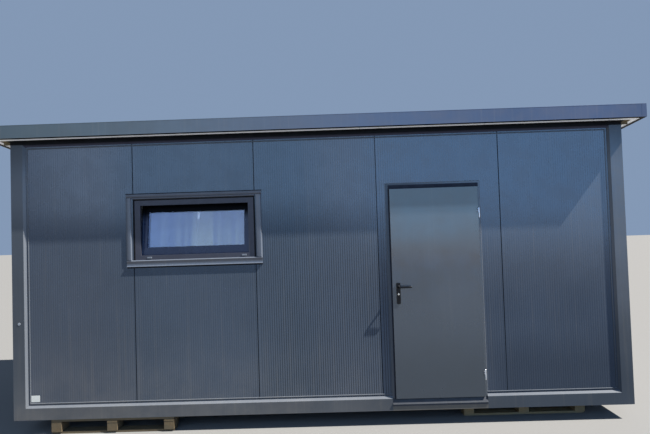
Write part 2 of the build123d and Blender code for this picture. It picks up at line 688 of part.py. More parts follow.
# handle on the inside of the sash head, its grip hanging down over the glass
with BuildPart() as window_handle:
    with BuildSketch(SASH_PLANE.offset(-SASH_T)):
        with Locations((X(mid(GLASS_X0, GLASS_X1)), GLASS_HIGH + 44)):
            RectangleRounded(30, 66, 8)
    extrude(amount=-9)
    with BuildSketch(SASH_PLANE.offset(-SASH_T - 9)):
        with Locations((X(mid(GLASS_X0, GLASS_X1)), GLASS_HIGH + 44)):
            Circle(10)
    extrude(amount=-30)
    with BuildSketch(SASH_PLANE.offset(-SASH_T - 27)):
        with Locations((X(mid(GLASS_X0, GLASS_X1)), GLASS_HIGH - 4)):
            SlotOverall(128, 20, rotation=90)
    extrude(amount=-14)
finish(window_handle, "window_handle")

# --- door frame and sill ---------------------------------------------------

with BuildPart() as door_frame:
    with BuildSketch(facing_front(FLANGE_FACE)):
        with Locations((X(mid(FRAME_X0, FRAME_X1)), Z(mid(SILL_Z1, FRAME_TOP)))):
            Rectangle(FRAME_X1 - FRAME_X0, FRAME_TOP - SILL_Z1)
        with Locations((X(mid(CLEAR_X0, CLEAR_X1)), Z(mid(SILL_Z1 - 50, CLEAR_TOP)))):
            Rectangle(CLEAR_X1 - CLEAR_X0, CLEAR_TOP - SILL_Z1 + 50, mode=Mode.SUBTRACT)
    extrude(amount=-(PANEL_FACE - FLANGE_FACE))
    with BuildSketch(facing_front(PANEL_FACE)):
        with Locations((X(mid(HOLE_X0, HOLE_X1)), Z(mid(SILL_Z1, HOLE_TOP)))):
            Rectangle(HOLE_X1 - HOLE_X0, HOLE_TOP - SILL_Z1)
        with Locations((X(mid(CLEAR_X0, CLEAR_X1)), Z(mid(SILL_Z1 - 50, CLEAR_TOP)))):
            Rectangle(CLEAR_X1 - CLEAR_X0, CLEAR_TOP - SILL_Z1 + 50, mode=Mode.SUBTRACT)
    extrude(amount=-PANEL_T)
finish(door_frame, "door_frame")

with BuildPart() as door_sill:
    with BuildSketch(facing_right(FRAME_X0)):
        with BuildLine():
            Polyline((Y(-6), Z(SILL_Z0)), (Y(RAIL_DEEP), Z(SILL_Z0)), (Y(RAIL_DEEP), Z(RAIL_TOP)),
                     (Y(PANEL_BACK), Z(RAIL_TOP)), (Y(PANEL_BACK), Z(SILL_Z1)),
                     (Y(14), Z(SILL_Z1)), (Y(-6), Z(SILL_NOSE)), close=True)
        make_face()
    extrude(amount=FRAME_X1 - FRAME_X0)
finish(door_sill, "door_sill")

# --- door leaf -------------------------------------------------------------

with BuildPart() as door_leaf:
    with BuildSketch(facing_front(LEAF_FACE)):
        with Locations((X(mid(LEAF_X0, LEAF_X1)), Z(mid(LEAF_Z0, LEAF_Z1)))):
            Rectangle(LEAF_X1 - LEAF_X0, LEAF_Z1 - LEAF_Z0)
    extrude(amount=-LIP_T)
    with BuildSketch(facing_front(LEAF_FACE + LIP_T)):
        with Locations((X(mid(LEAF_X0, LEAF_X1)), Z(mid(LEAF_Z0, LEAF_Z1 - LEAF_STEP)))):
            Rectangle(LEAF_X1 - LEAF_X0 - 2 * LEAF_STEP, LEAF_Z1 - LEAF_STEP - LEAF_Z0)
    extrude(amount=-(LEAF_BACK - LEAF_FACE - LIP_T))
    face = door_leaf.faces().filter_by(Axis.Y).sort_by(Axis.Y)[0]
    fillet(face.edges(), 2.5)
    # bores for the lever's spindle and the lock cylinder
    with BuildSketch(facing_front(LEAF_FACE - 5)):
        with Locations((X(LEVER_X), Z(LEVER_Z))):
            Circle(9)
        with Locations((X(LEVER_X), Z(LOCK_Z))):
            Circle(9)
    extrude(amount=-(LEAF_BACK - LEAF_FACE + 10), mode=Mode.SUBTRACT)
finish(door_leaf, "door_leaf")

with BuildPart() as door_hinge_frame_halves:
    for hz in HINGE_Z:
        with BuildSketch(Plane.XY.offset(Z(hz - HINGE_H / 2))):
            with Locations((X(HINGE_X), Y(HINGE_Y))):
                Circle(HINGE_R)
            with Locations((X(mid(HINGE_X - 3, HINGE_X + HINGE_R)), Y(mid(HINGE_Y, FLANGE_FACE)))):
                Rectangle(HINGE_R + 3, FLANGE_FACE - HINGE_Y)
        extrude(amount=HINGE_H / 2 - 0.5)
        with BuildSketch(Plane.XY.offset(Z(hz - 0.5))):
            with Locations((X(HINGE_X), Y(HINGE_Y))):
                Circle(3)
        extrude(amount=36)
finish(door_hinge_frame_halves, "door_hinge_frame_halves")

with BuildPart() as door_hinge_leaf_halves:
    for hz in HINGE_Z:
        with BuildSketch(Plane.XY.offset(Z(hz + 0.5))):
            with Locations((X(HINGE_X), Y(HINGE_Y))):
                Circle(HINGE_R)
            with Locations((X(mid(LEAF_X1 - 14, HINGE_X)), Y(LEAF_FACE - 1))):
                Rectangle(HINGE_X - LEAF_X1 + 14, 2)
        extrude(amount=HINGE_H / 2 - 0.5)
        with BuildSketch(Plane.XY.offset(Z(hz - 5))):
            with Locations((X(HINGE_X), Y(HINGE_Y))):
                Circle(3.4)
        extrude(amount=42, mode=Mode.SUBTRACT)
finish(door_hinge_leaf_halves, "door_hinge_leaf_halves")

# --- door furniture --------------------------------------------------------

PLATE_T = 8.0

# one plate outside and one inside
with BuildPart() as handle_plates:
    for y in (LEAF_FACE - PLATE_T, LEAF_BACK):
        with BuildSketch(facing_front(y)):
            with Locations((X(LEVER_X), Z(mid(PLATE_Z0, PLATE_Z1)))):
                RectangleRounded(38, PLATE_Z1 - PLATE_Z0, 8)
            with Locations((X(LEVER_X), Z(LEVER_Z)), (X(LEVER_X), Z(LOCK_Z))):
                Circle(9, mode=Mode.SUBTRACT)
        extrude(amount=-PLATE_T)
finish(handle_plates, "handle_plates")

with BuildPart() as lock_cylinder:
    with BuildSketch(facing_front(LEAF_FACE - PLATE_T - 3)):
        with Locations((X(LEVER_X), Z(LOCK_Z))):
            Circle(8.7)
    extrude(amount=-(LEAF_BACK - LEAF_FACE + 2 * PLATE_T + 6))
finish(lock_cylinder, "lock_cylinder")

# both levers on their spindle, which turns in the leaf
LEVER_OUT = LEAF_FACE - PLATE_T - 38.0
LEVER_IN = LEAF_BACK + PLATE_T + 38.0

with BuildPart() as door_levers:
    with BuildSketch(facing_front(LEVER_OUT)):
        with Locations((X(LEVER_X), Z(LEVER_Z))):
            Circle(7.5)
    extrude(amount=-(LEVER_IN - LEVER_OUT))
    for y in (LEVER_OUT - 6, LEVER_IN - 8):
        with BuildSketch(facing_front(y)):
            with Locations((X(LEVER_X + 58), Z(LEVER_Z))):
                SlotOverall(136, 20)
        extrude(amount=-14)
finish(door_levers, "door_levers")

# --- small plates ----------------------------------------------------------

with BuildPart() as label_plate:
    with BuildSketch(facing_front(PANEL_FACE - 1.5)):
        with Locations((X(204), Z(200))):
            RectangleRounded(84, 62, 4)
    extrude(amount=-1.5)
finish(label_plate, "label_plate")

with BuildPart() as post_plug:
    with BuildSketch(facing_front(-3)):
        with Locations((X(65), Z(935))):
            Circle(13)
    extrude(amount=-3)
finish(post_plug, "post_plug")
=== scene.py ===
import math
import random
import bpy
import bmesh
from mathutils import Matrix, Vector


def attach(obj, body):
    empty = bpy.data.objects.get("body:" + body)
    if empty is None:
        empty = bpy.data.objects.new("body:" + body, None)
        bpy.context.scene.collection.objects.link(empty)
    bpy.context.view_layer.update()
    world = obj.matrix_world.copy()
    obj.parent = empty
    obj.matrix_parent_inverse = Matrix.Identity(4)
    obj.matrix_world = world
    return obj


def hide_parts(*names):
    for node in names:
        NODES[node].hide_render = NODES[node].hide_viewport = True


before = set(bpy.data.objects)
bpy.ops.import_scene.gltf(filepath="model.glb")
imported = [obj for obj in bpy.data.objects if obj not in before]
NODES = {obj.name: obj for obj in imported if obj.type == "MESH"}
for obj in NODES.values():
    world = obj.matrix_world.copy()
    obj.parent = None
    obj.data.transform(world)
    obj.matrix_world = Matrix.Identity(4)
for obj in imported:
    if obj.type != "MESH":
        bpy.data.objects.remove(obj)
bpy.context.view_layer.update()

rnd = random.Random(7)

# ---------------------------------------------------------------------------
# distances in millimetres from the cabin's front left bottom corner, as in the
# part's own source; the results are metres in the shared frame
# ---------------------------------------------------------------------------
LENGTH, WIDTH, PALLET_H = 6000.0, 2400.0, 144.0
SLOPE = math.tan(math.radians(5))
EAVES = 2722.0
OVERHANG = 155.0
MODULE, SEAM = 1200.0, 4.0
POST_OUT, RAIL_TOP = 137.0, 136.0
PANEL_FACE, PANEL_BACK = 22.0, 82.0
TOP_DROP = 49.0
FRONT_HEAD = EAVES - TOP_DROP
REAR_HEAD = EAVES - SLOPE * WIDTH - TOP_DROP
FRAME_X0, FRAME_X1, FRAME_TOP = 3690.0, 4604.0, 2194.0
LEAF_X0, LEAF_X1, LEAF_Z0, LEAF_Z1 = 3722.0, 4582.0, 113.0, 2141.0
SILL_LOW, SILL_NOSE, SILL_TOP = 42.0, 66.0, 105.0
WIN_X0, WIN_X1, WIN_Z0, WIN_Z1 = 1202.0, 2398.0, 1522.0, 2120.0
TRIM_X0, TRIM_X1, TRIM_Z0, TRIM_Z1 = 1132.0, 2468.0, 1457.0, 2173.0
LEVER_X, LEVER_Z, LOCK_Z = 3779.0, 1188.0, 1118.0


def X(d):
    return (d - LENGTH / 2) / 1000


def Y(d):
    return (d - WIDTH / 2) / 1000


def Z(d):
    return (d + PALLET_H) / 1000


def P(x, y, z):
    return Vector((X(x), Y(y), Z(z)))


def roof(y):
    return EAVES - SLOPE * y


# ---------------------------------------------------------------------------
# mesh building
# ---------------------------------------------------------------------------
class Build:
    """Collects closed shapes for one mesh. grain keeps a place along the
    material of each piece of timber, for its figure."""

    def __init__(self):
        self.v, self.f, self.g = [], [], []

    def add(self, verts, faces, grain=None):
        base = len(self.v)
        self.v += [Vector(p) for p in verts]
        self.f += [[i + base for i in f] for f in faces]
        self.g += list(grain) if grain else [Vector(p) for p in verts]

    def skin(self, rings, cyclic=False, caps=True):
        n = len(rings[0])
        verts = [p for r in rings for p in r]
        faces = []
        m = len(rings)
        for i in range(m if cyclic else m - 1):
            a, b = i * n, ((i + 1) % m) * n
            for j in range(n):
                k = (j + 1) % n
                faces.append([a + j, a + k, b + k, b + j])
        if not cyclic and caps:
            faces.append(list(range(n - 1, -1, -1)))
            faces.append([(m - 1) * n + j for j in range(n)])
        self.add(verts, faces)

    def box(self, lo, hi):
        x0, y0, z0 = lo
        x1, y1, z1 = hi
        v = [(x0, y0, z0), (x1, y0, z0), (x1, y1, z0), (x0, y1, z0),
             (x0, y0, z1), (x1, y0, z1), (x1, y1, z1), (x0, y1, z1)]
        f = [[0, 3, 2, 1], [4, 5, 6, 7], [0, 1, 5, 4], [1, 2, 6, 5], [2, 3, 7, 6], [3, 0, 4, 7]]
        self.add(v, f)

    def turned(self, centre, axis, profile, sides=20, start=None):
        """closed body of revolution; profile lists (distance along axis, radius)"""
        axis = Vector(axis).normalized()
        u = axis.orthogonal().normalized() if start is None else Vector(start).normalized()
        w = axis.cross(u)
        rings = []
        for d, r in profile:
            r = max(r, 1e-5)
            rings.append([Vector(centre) + axis * d + (u * math.cos(t) + w * math.sin(t)) * r
                          for t in (2 * math.pi * k / sides for k in range(sides))])
        self.skin(rings)


def make(name, build, mat, body="cabin", soft=None, grain=False, swap=(), bevel=None):
    me = bpy.data.meshes.new(name)
    me.from_pydata([tuple(p) for p in build.v], [], build.f)
    if grain:
        at = me.attributes.new("grain", "FLOAT_VECTOR", "POINT")
        at.data.foreach_set("vector", [c for g in build.g for c in g])
    me.validate()
    bm = bmesh.new()
    bm.from_mesh(me)
    bmesh.ops.recalc_face_normals(bm, faces=bm.faces)
    bm.to_mesh(me)
    bm.free()
    me.materials.append(mat)
    if soft is not None:
        me.polygons.foreach_set("use_smooth", [True] * len(me.polygons))
        me.set_sharp_from_angle(angle=math.radians(soft))
    me.update()
    o = bpy.data.objects.new(name, me)
    bpy.context.scene.collection.objects.link(o)
    if bevel:
        m = o.modifiers.new("edge", "BEVEL")
        m.width, m.segments, m.limit_method, m.angle_limit = bevel, 2, "ANGLE", math.radians(40)
        m.harden_normals = False
    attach(o, body)
    if swap:
        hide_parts(*swap)
    return o


class Face:
    """a flat face of the building: s along it, z up, n outwards; millimetres"""

    def __init__(self, origin, along, up, out):
        self.o, self.s, self.u, self.n = Vector(origin), Vector(along), Vector(up), Vector(out)

    def at(self, s, z, n=0.0):
        return self.o + (self.s * s + self.u * z + self.n * n) / 1000


UP = (0, 0, 1)
FRONT = Face((X(0), Y(PANEL_FACE), Z(0)), (1, 0, 0), UP, (0, -1, 0))
REAR = Face((X(LENGTH), Y(WIDTH - PANEL_FACE), Z(0)), (-1, 0, 0), UP, (0, 1, 0))
LEFT = Face((X(PANEL_FACE), Y(WIDTH), Z(0)), (0, -1, 0), UP, (-1, 0, 0))
RIGHT = Face((X(LENGTH - PANEL_FACE), Y(0), Z(0)), (0, 1, 0), UP, (1, 0, 0))


def offsets(pts, t, closed):
    """the outline pts moved t to its left side, with mitred corners"""
    out = []
    m = len(pts)
    for i, p in enumerate(pts):
        p = Vector(p)
        n = []
        for a, b in ((i - 1, i), (i, i + 1)):
            if not closed and (a < 0 or b >= m):
                continue
            d = (Vector(pts[b % m]) - Vector(pts[a % m])).normalized()
            n.append(Vector((-d.y, d.x)))
        if len(n) == 2:
            out.append(p + (n[0] + n[1]) * (t / (1 + n[0].dot(n[1]))))
        else:
            out.append(p + n[0] * t)
    return out


def moulding(build, face, pts, profile, closed=True):
    """sweeps a closed profile of (inward, outward) along pts on a face"""
    cols = [[face.at(q.x, q.y, h) for q in offsets(pts, t, closed)] for t, h in profile]
    rings = [[c[i] for c in cols] for i in range(len(pts))]
    build.skin(rings, cyclic=closed)


# ---------------------------------------------------------------------------
# materials
# ---------------------------------------------------------------------------
class Mat:
    """a procedural material; coordinates are the object's own, in metres"""

    def __init__(self, name):
        self.m = bpy.data.materials.new(name)
        self.m.use_nodes = True
        self.t = self.m.node_tree
        self.t.nodes.clear()
        self.out = self.t.nodes.new("ShaderNodeOutputMaterial")
        self.b = self.t.nodes.new("ShaderNodeBsdfPrincipled")
        self.t.links.new(self.b.outputs[0], self.out.inputs[0])
        self.co = self.t.nodes.new("ShaderNodeTexCoord")
        self.normal = None

    def set(self, **kw):
        for k, v in kw.items():
            self.b.inputs[k.replace("_", " ")].default_value = v
        return self

    def link(self, a, b):
        self.t.links.new(a, b)

    def coords(self, scale=(1, 1, 1), source=None, turn=(0, 0, 0)):
        n = self.t.nodes.new("ShaderNodeMapping")
        n.inputs["Scale"].default_value = scale
        n.inputs["Rotation"].default_value = turn
        self.link(source or self.co.outputs["Object"], n.inputs["Vector"])
        return n.outputs[0]

    def noise(self, scale=1.0, detail=4.0, rough=0.55, at=None, dist=0.0):
        n = self.t.nodes.new("ShaderNodeTexNoise")
        n.inputs["Scale"].default_value = scale
        n.inputs["Detail"].default_value = detail
        n.inputs["Roughness"].default_value = rough
        n.inputs["Distortion"].default_value = dist
        self.link(at or self.co.outputs["Object"], n.inputs["Vector"])
        return n.outputs["Fac"]

    def ramp(self, fac, stops, mode="LINEAR"):
        n = self.t.nodes.new("ShaderNodeValToRGB")
        n.color_ramp.interpolation = mode
        e = n.color_ramp.elements
        while len(e) > 1:
            e.remove(e[-1])
        e[0].position = stops[0][0]
        e[0].color = rgba(stops[0][1])
        for p, c in stops[1:]:
            k = e.new(p)
            k.color = rgba(c)
        self.link(fac, n.inputs[0])
        return n.outputs[0]

    def math(self, op, a, b=None, clamp=False):
        n = self.t.nodes.new("ShaderNodeMath")
        n.operation = op
        n.use_clamp = clamp
        for i, v in enumerate((a, b)):
            if v is None:
                continue
            if isinstance(v, (int, float)):
                n.inputs[i].default_value = v
            else:
                self.link(v, n.inputs[i])
        return n.outputs[0]

    def span(self, v, a, b, lo=0.0, hi=1.0):
        """maps v from a..b to lo..hi, held at the ends, with soft ends"""
        n = self.t.nodes.new("ShaderNodeMapRange")
        n.interpolation_type = "SMOOTHSTEP"
        n.inputs["From Min"].default_value = a
        n.inputs["From Max"].default_value = b
        n.inputs["To Min"].default_value = lo
        n.inputs["To Max"].default_value = hi
        self.link(v, n.inputs["Value"])
        return n.outputs[0]

    def axis(self, which="Z", source=None):
        n = self.t.nodes.new("ShaderNodeSeparateXYZ")
        self.link(source or self.co.outputs["Object"], n.inputs[0])
        return n.outputs[which]

    def mix(self, fac, a, b, how="MIX"):
        n = self.t.nodes.new("ShaderNodeMix")
        n.data_type = "RGBA"
        n.blend_type = how
        for i, v in ((0, fac), (6, a), (7, b)):
            if isinstance(v, (int, float)):
                n.inputs[i].default_value = v
            elif isinstance(v, (tuple, list)):
                n.inputs[i].default_value = rgba(v)
            else:
                self.link(v, n.inputs[i])
        return n.outputs[2]

    def bump(self, height, dist=0.001, strength=1.0):
        n = self.t.nodes.new("ShaderNodeBump")
        n.inputs["Distance"].default_value = dist
        n.inputs["Strength"].default_value = strength
        self.link(height, n.inputs["Height"])
        if self.normal is not None:
            self.link(self.normal, n.inputs["Normal"])
        self.normal = n.outputs[0]
        self.link(self.normal, self.b.inputs["Normal"])
        return self

    def color(self, c):
        self.link(c, self.b.inputs["Base Color"])
        return self

    def rough(self, r):
        self.link(r, self.b.inputs["Roughness"])
        return self


def rgba(c):
    if isinstance(c, (int, float)):
        return (c, c, c, 1.0)
    return tuple(c) + (1.0,) if len(c) == 3 else tuple(c)


def srgb(r, g, b):
    """colour given as 0..255 display values"""
    out = []
    for v in (r, g, b):
        v /= 255.0
        out.append(v / 12.92 if v <= 0.04045 else ((v + 0.055) / 1.055) ** 2.4)
    return tuple(out)


def tint(c, k, warm=0.0):
    return (c[0] * k * (1 + warm), c[1] * k, c[2] * k * (1 - warm))


DUST = srgb(132, 124, 112)


def painted(name, base, rough=(0.32, 0.44), dust=0.5, dust_to=0.75, cloud=0.10, streaks=0.10,
            inner=None, inner_axis=None, soil=DUST, spec=0.9, under=None, groove=None, foot=None,
            lit=None, dull=None, side=None, top=None, eaves=None, west=None):
    """satin coat on steel sheet: faint clouding, rain streaks, fine specks and
    dust that thins out upwards; inner paints the faces looking indoors, under
    paints shade on the faces looking down; groove = (axis, floor, crest) paints
    shade in the valleys (most at mid-wall), painted light on the mid-wall and painted shade
    on the rolled lips beside each panel joint, and on the front and rear walls painted shade
    low towards the right end and a painted reflection tint left of the middle;
    foot = (low, high, tone) changes the tone downwards, lit = (tone, share, share)
    paints a highlight on faces that look up or to the right, towards the key light; side = (from, to, share)
    takes gloss off towards its first end and dull = (z, z, share, z, z, share) off
    downwards, first the building's left end and then its right end, a painted darkening of the reflection, as
    top = (z, z, share, tones of the gloss low and high) does upwards on the door as a painted
    reflection, with painted shade on the door's edge at the hinges; eaves = (z, z, share) paints shade close under the
    roof, and west is the greyer tone that the coat turns to at the building's left end, a painted change of its
    reflection"""
    m = Mat(name)
    big = m.noise(1.3, 3, 0.5)
    col = m.mix(m.span(big, 0.30, 0.72), tint(base, 1 - cloud), tint(base, 1 + cloud))
    # painted reflection: towards the left end the coat turns to the greyer west tone
    if west is not None:
        west_tone = m.mix(m.span(big, 0.30, 0.72), tint(west, 1 - cloud), tint(west, 1 + cloud))
        col = m.mix(m.span(m.axis("X"), -2.6, 1.2, 1.0, 0.0), col, west_tone)
    run = m.noise(1.0, 4, 0.6, at=m.coords((34, 34, 0.7)))
    col = m.mix(m.math("MULTIPLY", m.span(run, 0.50, 0.78), streaks), col, tint(soil, 0.75))
    fine = m.noise(210.0, 2, 0.6)
    col = m.mix(m.math("MULTIPLY", m.span(fine, 0.62, 0.80), 0.10), col, tint(soil, 0.9))
    z = m.axis("Z")
    patch = m.noise(4.5, 5, 0.65)
    low = m.math("MULTIPLY", m.span(z, 0.13, dust_to, 1.0, 0.0), m.span(patch, 0.25, 0.70, 0.35, 1.0))
    low = m.math("MULTIPLY", low, m.span(m.axis("X"), -1.0, 2.6, 1.0, 0.05))
    col = m.mix(m.math("MULTIPLY", low, dust), col, soil)
    if groove is not None:
        # painted shade in the rib valleys, strongest at mid-wall, and painted light that lifts the mid-wall by 17 %
        deep = m.span(m.axis(groove[0]), groove[2], groove[1])
        along, shift = ("X", LENGTH / 2000) if groove[0] == "Y" else ("Y", 0.0)
        middle = m.math("ABSOLUTE", m.math("SUBTRACT", m.axis(along), 0.15))
        col = m.mix(m.span(middle, 0.45, 1.05, 1.0, 0.0), col, (1.17, 1.17, 1.15), "MULTIPLY")
        deep = m.math("MULTIPLY", deep, m.span(middle, 0.45, 1.05, 0.75, 0.03))
        col = m.mix(deep, col, tint(base, 0.25))
        # painted shade on the rolled lips beside each panel joint
        joint = m.math("PINGPONG", m.math("ADD", m.axis(along), shift), MODULE / 2000)
        joint = m.span(joint, 0.0025, 0.0060, 1.0, 0.0)
        col = m.mix(joint, col, tint(base, 0.22))
        if along == "X":
            # painted shade low down towards the building's right-hand end
            low_right_shade = m.math("MULTIPLY", m.span(z, 0.50, 0.98, 0.80, 0.0), m.span(m.axis("X"), 1.4, 1.9))
            col = m.mix(low_right_shade, col, tint(base, 0.70))
            # painted reflection: the gloss is tinted less red around X -0.95 m, left of the middle
            near = m.math("ABSOLUTE", m.math("ADD", m.axis("X"), 0.95))
            near = m.span(near, 0.65, 1.35, 1.0, 0.0)
            m.link(m.mix(near, (1.0, 1.0, 1.0), (0.66, 0.82, 0.92)), m.b.inputs["Specular Tint"])
    if foot is not None:
        col = m.mix(m.span(z, foot[0], foot[1], 1.0, 0.0), col, foot[2])
    level = None
    if lit is not None:
        # painted highlight on faces that look up or to the right, towards the key light
        n = m.co.outputs["Normal"]
        edge = m.math("ADD", m.span(m.axis("Z", n), 0.22, 0.5), m.span(m.axis("X", n), 0.30, 0.55), clamp=True)
        edge = m.math("MULTIPLY", edge, m.span(m.axis("X"), -1.5, 1.5, lit[1], lit[2]))
        col = m.mix(edge, col, lit[0])
    if under is not None:
        # painted shade: faces looking down turn to the under colour, with little gloss
        down = m.math("LESS_THAN", m.axis("Z", m.co.outputs["Normal"]), -0.6)
        col = m.mix(down, col, under)
        level = m.math("MULTIPLY", m.math("SUBTRACT", 1.05, down), spec)
    if dull is not None:
        # painted reflection: the gloss falls off downwards so the reflection darkens there, and at the panel joints
        here = m.span(m.axis("X"), -0.9, 1.9)
        west = m.math("MULTIPLY", m.span(z, dull[0], dull[1], dull[2], 1.0), m.math("SUBTRACT", 1.0, here))
        east = m.math("MULTIPLY", m.span(z, dull[3], dull[4], dull[5], 1.0), here)
        level = m.math("MULTIPLY", m.math("ADD", west, east), spec)
        if groove is not None:
            level = m.math("MULTIPLY", level, m.math("SUBTRACT", 1.0, joint))
    if eaves is not None:
        # painted shade close under the roof: darker and less glossy upwards
        up = m.span(z, eaves[0], eaves[1], 0.0, eaves[2])
        col = m.mix(up, col, tint(base, 0.35))
        level = m.math("MULTIPLY", level or spec, m.span(z, eaves[0], eaves[1], 1.0, 1.0 - 0.6 * eaves[2]))
    if top is not None:
        # painted shade on the right-facing edge at the hinges; painted reflection: the gloss is tinted by height and
        # cut above top[0]
        hinge_edge_shade = m.math("GREATER_THAN", m.axis("X", m.co.outputs["Normal"]), 0.6)
        col = m.mix(hinge_edge_shade, col, tint(base, 0.35))
        m.link(m.mix(m.span(z, 1.42, 1.74), top[3], top[4]), m.b.inputs["Specular Tint"])
        level = m.math("MULTIPLY", m.span(z, top[0], top[1], 1.0, top[2]), spec)
    if side is not None:
        # painted reflection: less gloss towards side[0], so the reflection is darker there
        level = m.math("MULTIPLY", m.span(m.axis("X"), side[0], side[1], side[2], 1.0), level or spec)
    if inner is not None:
        nrm = m.axis(inner_axis[0], m.co.outputs["Normal"])
        side = m.math("GREATER_THAN" if inner_axis[1] > 0 else "LESS_THAN", nrm, 0.5 * inner_axis[1])
        spots = m.noise(26.0, 3, 0.6)
        light = m.mix(m.span(spots, 0.3, 0.7), tint(inner, 0.96), tint(inner, 1.03))
        col = m.mix(side, col, light)
    m.color(col)
    wet = m.noise(7.0, 4, 0.6)
    r = m.math("ADD", m.span(wet, 0.28, 0.72, rough[0], rough[1]), m.math("MULTIPLY", low, 0.22))
    m.rough(r)
    m.set(Specular_IOR_Level=spec)
    if level is not None:
        m.link(level, m.b.inputs["Specular IOR Level"])
    peel = m.noise(380.0, 2, 0.5)
    m.bump(peel, 0.00025, 0.22)
    dents = m.noise(2.6, 2, 0.5)
    m.bump(dents, 0.004, 0.045)
    return m.m


WHITE_IN = srgb(206, 207, 203)
BODY = srgb(52, 57, 62)
BODY_WALL = srgb(54, 62, 73)
# gloss taken off down the walls (dull), a painted darkening of their reflection low down
GLOSS_FALLOFF = (1.84, 2.30, 0.38, 1.02, 2.15, 0.06)

# painted highlight on edges looking up or right (lit), painted shade under the roof (eaves), gloss falling off
# downwards (dull)
mat_frame = painted("frame_paint", srgb(51, 57, 64), dust=0.16, dust_to=0.62, rough=(0.32, 0.44), spec=0.90,
                    dull=(1.84, 2.30, 0.45, 0.35, 1.75, 0.06), lit=(srgb(84, 88, 94), 0.7, 0.7), eaves=(2.42, 2.82, 0.6))
# painted shade: the top rails are near black for the deep shade under the eaves, lighter only along their lower edge
# (foot)
mat_head = painted("head_rail_paint", srgb(11, 12, 15), dust=0.0, rough=(0.5, 0.7), spec=0.10, foot=(2.822, 2.846, srgb(52, 53, 66)))
# painted light: lighter than the other rails, for the light from the ground below the sill's shadow
mat_rail_door = painted("rail_under_door_paint", srgb(59, 58, 55), dust=0.2, dust_to=0.5, rough=(0.36, 0.48), spec=0.55)
# painted shade: the gloss is taken off its left jamb (side) so that it reads darker
mat_door_frame = painted("door_frame_paint", srgb(45, 52, 60), dust=0.1, dust_to=0.6, spec=0.90, side=(X(3760), X(4540), 0.48))
mat_wall_y = painted("wall_facing_front", BODY_WALL, inner=WHITE_IN, inner_axis=("Y", 1.0), dust=0.12, dust_to=1.1, rough=(0.22, 0.32), spec=0.88, dull=GLOSS_FALLOFF)
mat_wall_back = painted("wall_facing_rear", BODY_WALL, inner=WHITE_IN, inner_axis=("Y", -1.0), dust=0.12, dust_to=1.1, rough=(0.22, 0.32), spec=0.88, dull=GLOSS_FALLOFF)
mat_wall_left = painted("wall_facing_left", BODY_WALL, inner=WHITE_IN, inner_axis=("X", 1.0), dust=0.12, dust_to=1.1, rough=(0.22, 0.32), spec=0.88, dull=GLOSS_FALLOFF)
mat_wall_right = painted("wall_facing_right", BODY_WALL, inner=WHITE_IN, inner_axis=("X", -1.0), dust=0.12, dust_to=1.1, rough=(0.22, 0.32), spec=0.88, dull=GLOSS_FALLOFF)
LOW, HIGH = 0.0002, 0.0006
# the ribbed facings carry painted shade in the rib valleys and beside the joints, painted light at mid-wall, painted
# shade low at the right end and a painted reflection tint (groove)
mat_rib_front = painted("ribbed_facing_front", BODY_WALL, dust=0.12, dust_to=1.1, rough=(0.22, 0.32), spec=0.88, dull=GLOSS_FALLOFF, cloud=0.07,
                        groove=("Y", Y(PANEL_FACE) - LOW, Y(PANEL_FACE) - HIGH))
mat_rib_rear = painted("ribbed_facing_rear", BODY_WALL, dust=0.12, dust_to=1.1, rough=(0.22, 0.32), spec=0.88, dull=GLOSS_FALLOFF, cloud=0.07,
                       groove=("Y", Y(WIDTH - PANEL_FACE) + LOW, Y(WIDTH - PANEL_FACE) + HIGH))
mat_rib_left = painted("ribbed_facing_left", BODY_WALL, dust=0.12, dust_to=1.1, rough=(0.22, 0.32), spec=0.88, dull=GLOSS_FALLOFF, cloud=0.07,
                       groove=("X", X(PANEL_FACE) - LOW, X(PANEL_FACE) - HIGH))
mat_rib_right = painted("ribbed_facing_right", BODY_WALL, dust=0.12, dust_to=1.1, rough=(0.22, 0.32), spec=0.88, dull=GLOSS_FALLOFF, cloud=0.07,
                        groove=("X", X(LENGTH - PANEL_FACE) + LOW, X(LENGTH - PANEL_FACE) + HIGH))
# painted shade on down-facing faces (under); painted reflection: less gloss towards the right end (side), greyer
# towards the left end (west)
mat_flash = painted("flashing_paint", srgb(50, 61, 84), dust=0.0, streaks=0.16, rough=(0.34, 0.46), spec=0.87, under=srgb(4, 4, 5), side=(X(5600), X(2400), 0.52), west=srgb(42, 55, 60))
mat_roof = painted("roof_sheet", srgb(46, 54, 64), dust=0.0, streaks=0.2, spec=0.6, inner=srgb(244, 247, 252), inner_axis=("Z", -1.0))
# painted reflection: gloss cut above 2.07 m and tinted by height (top); painted shade on the hinge edge; darker towards
# the bottom (foot) for the dark reflection low on the leaf
mat_door = painted("door_paint", srgb(48, 54, 62), rough=(0.14, 0.22), cloud=0.12, streaks=0.05, dust=0.08, dust_to=0.95, spec=0.95, top=(2.07, 2.13, 0.72, (0.70, 0.78, 0.86), (1.0, 0.85, 0.68)),
                   foot=(0.35, 1.35, srgb(26, 34, 43)))
mat_door.node_tree.nodes["Principled BSDF"].inputs["IOR"].default_value = 1.65
# painted highlight on the surround's edges that look up or right (lit)
mat_trim = painted("window_trim_paint", srgb(50, 56, 66), dust=0.0, spec=0.9, rough=(0.28, 0.40), lit=(srgb(76, 82, 92), 0.75, 0.75))
mat_trim_head = painted("window_head_paint", srgb(40, 43, 53), dust=0.0, spec=0.7, rough=(0.32, 0.44))
mat_joist = painted("joist_primer", srgb(96, 98, 98), rough=(0.5, 0.7), dust=0.5, dust_to=0.4)
mat_sill = painted("sill_metal", srgb(27, 33, 42), rough=(0.5, 0.66), dust=0.10, dust_to=0.5, spec=0.35)
# a little lighter than the sill: a painted highlight on its rolled edge
mat_sill_edge = painted("sill_edge_highlight", srgb(31, 38, 47), rough=(0.45, 0.6), dust=0.1, dust_to=0.5, spec=0.35)


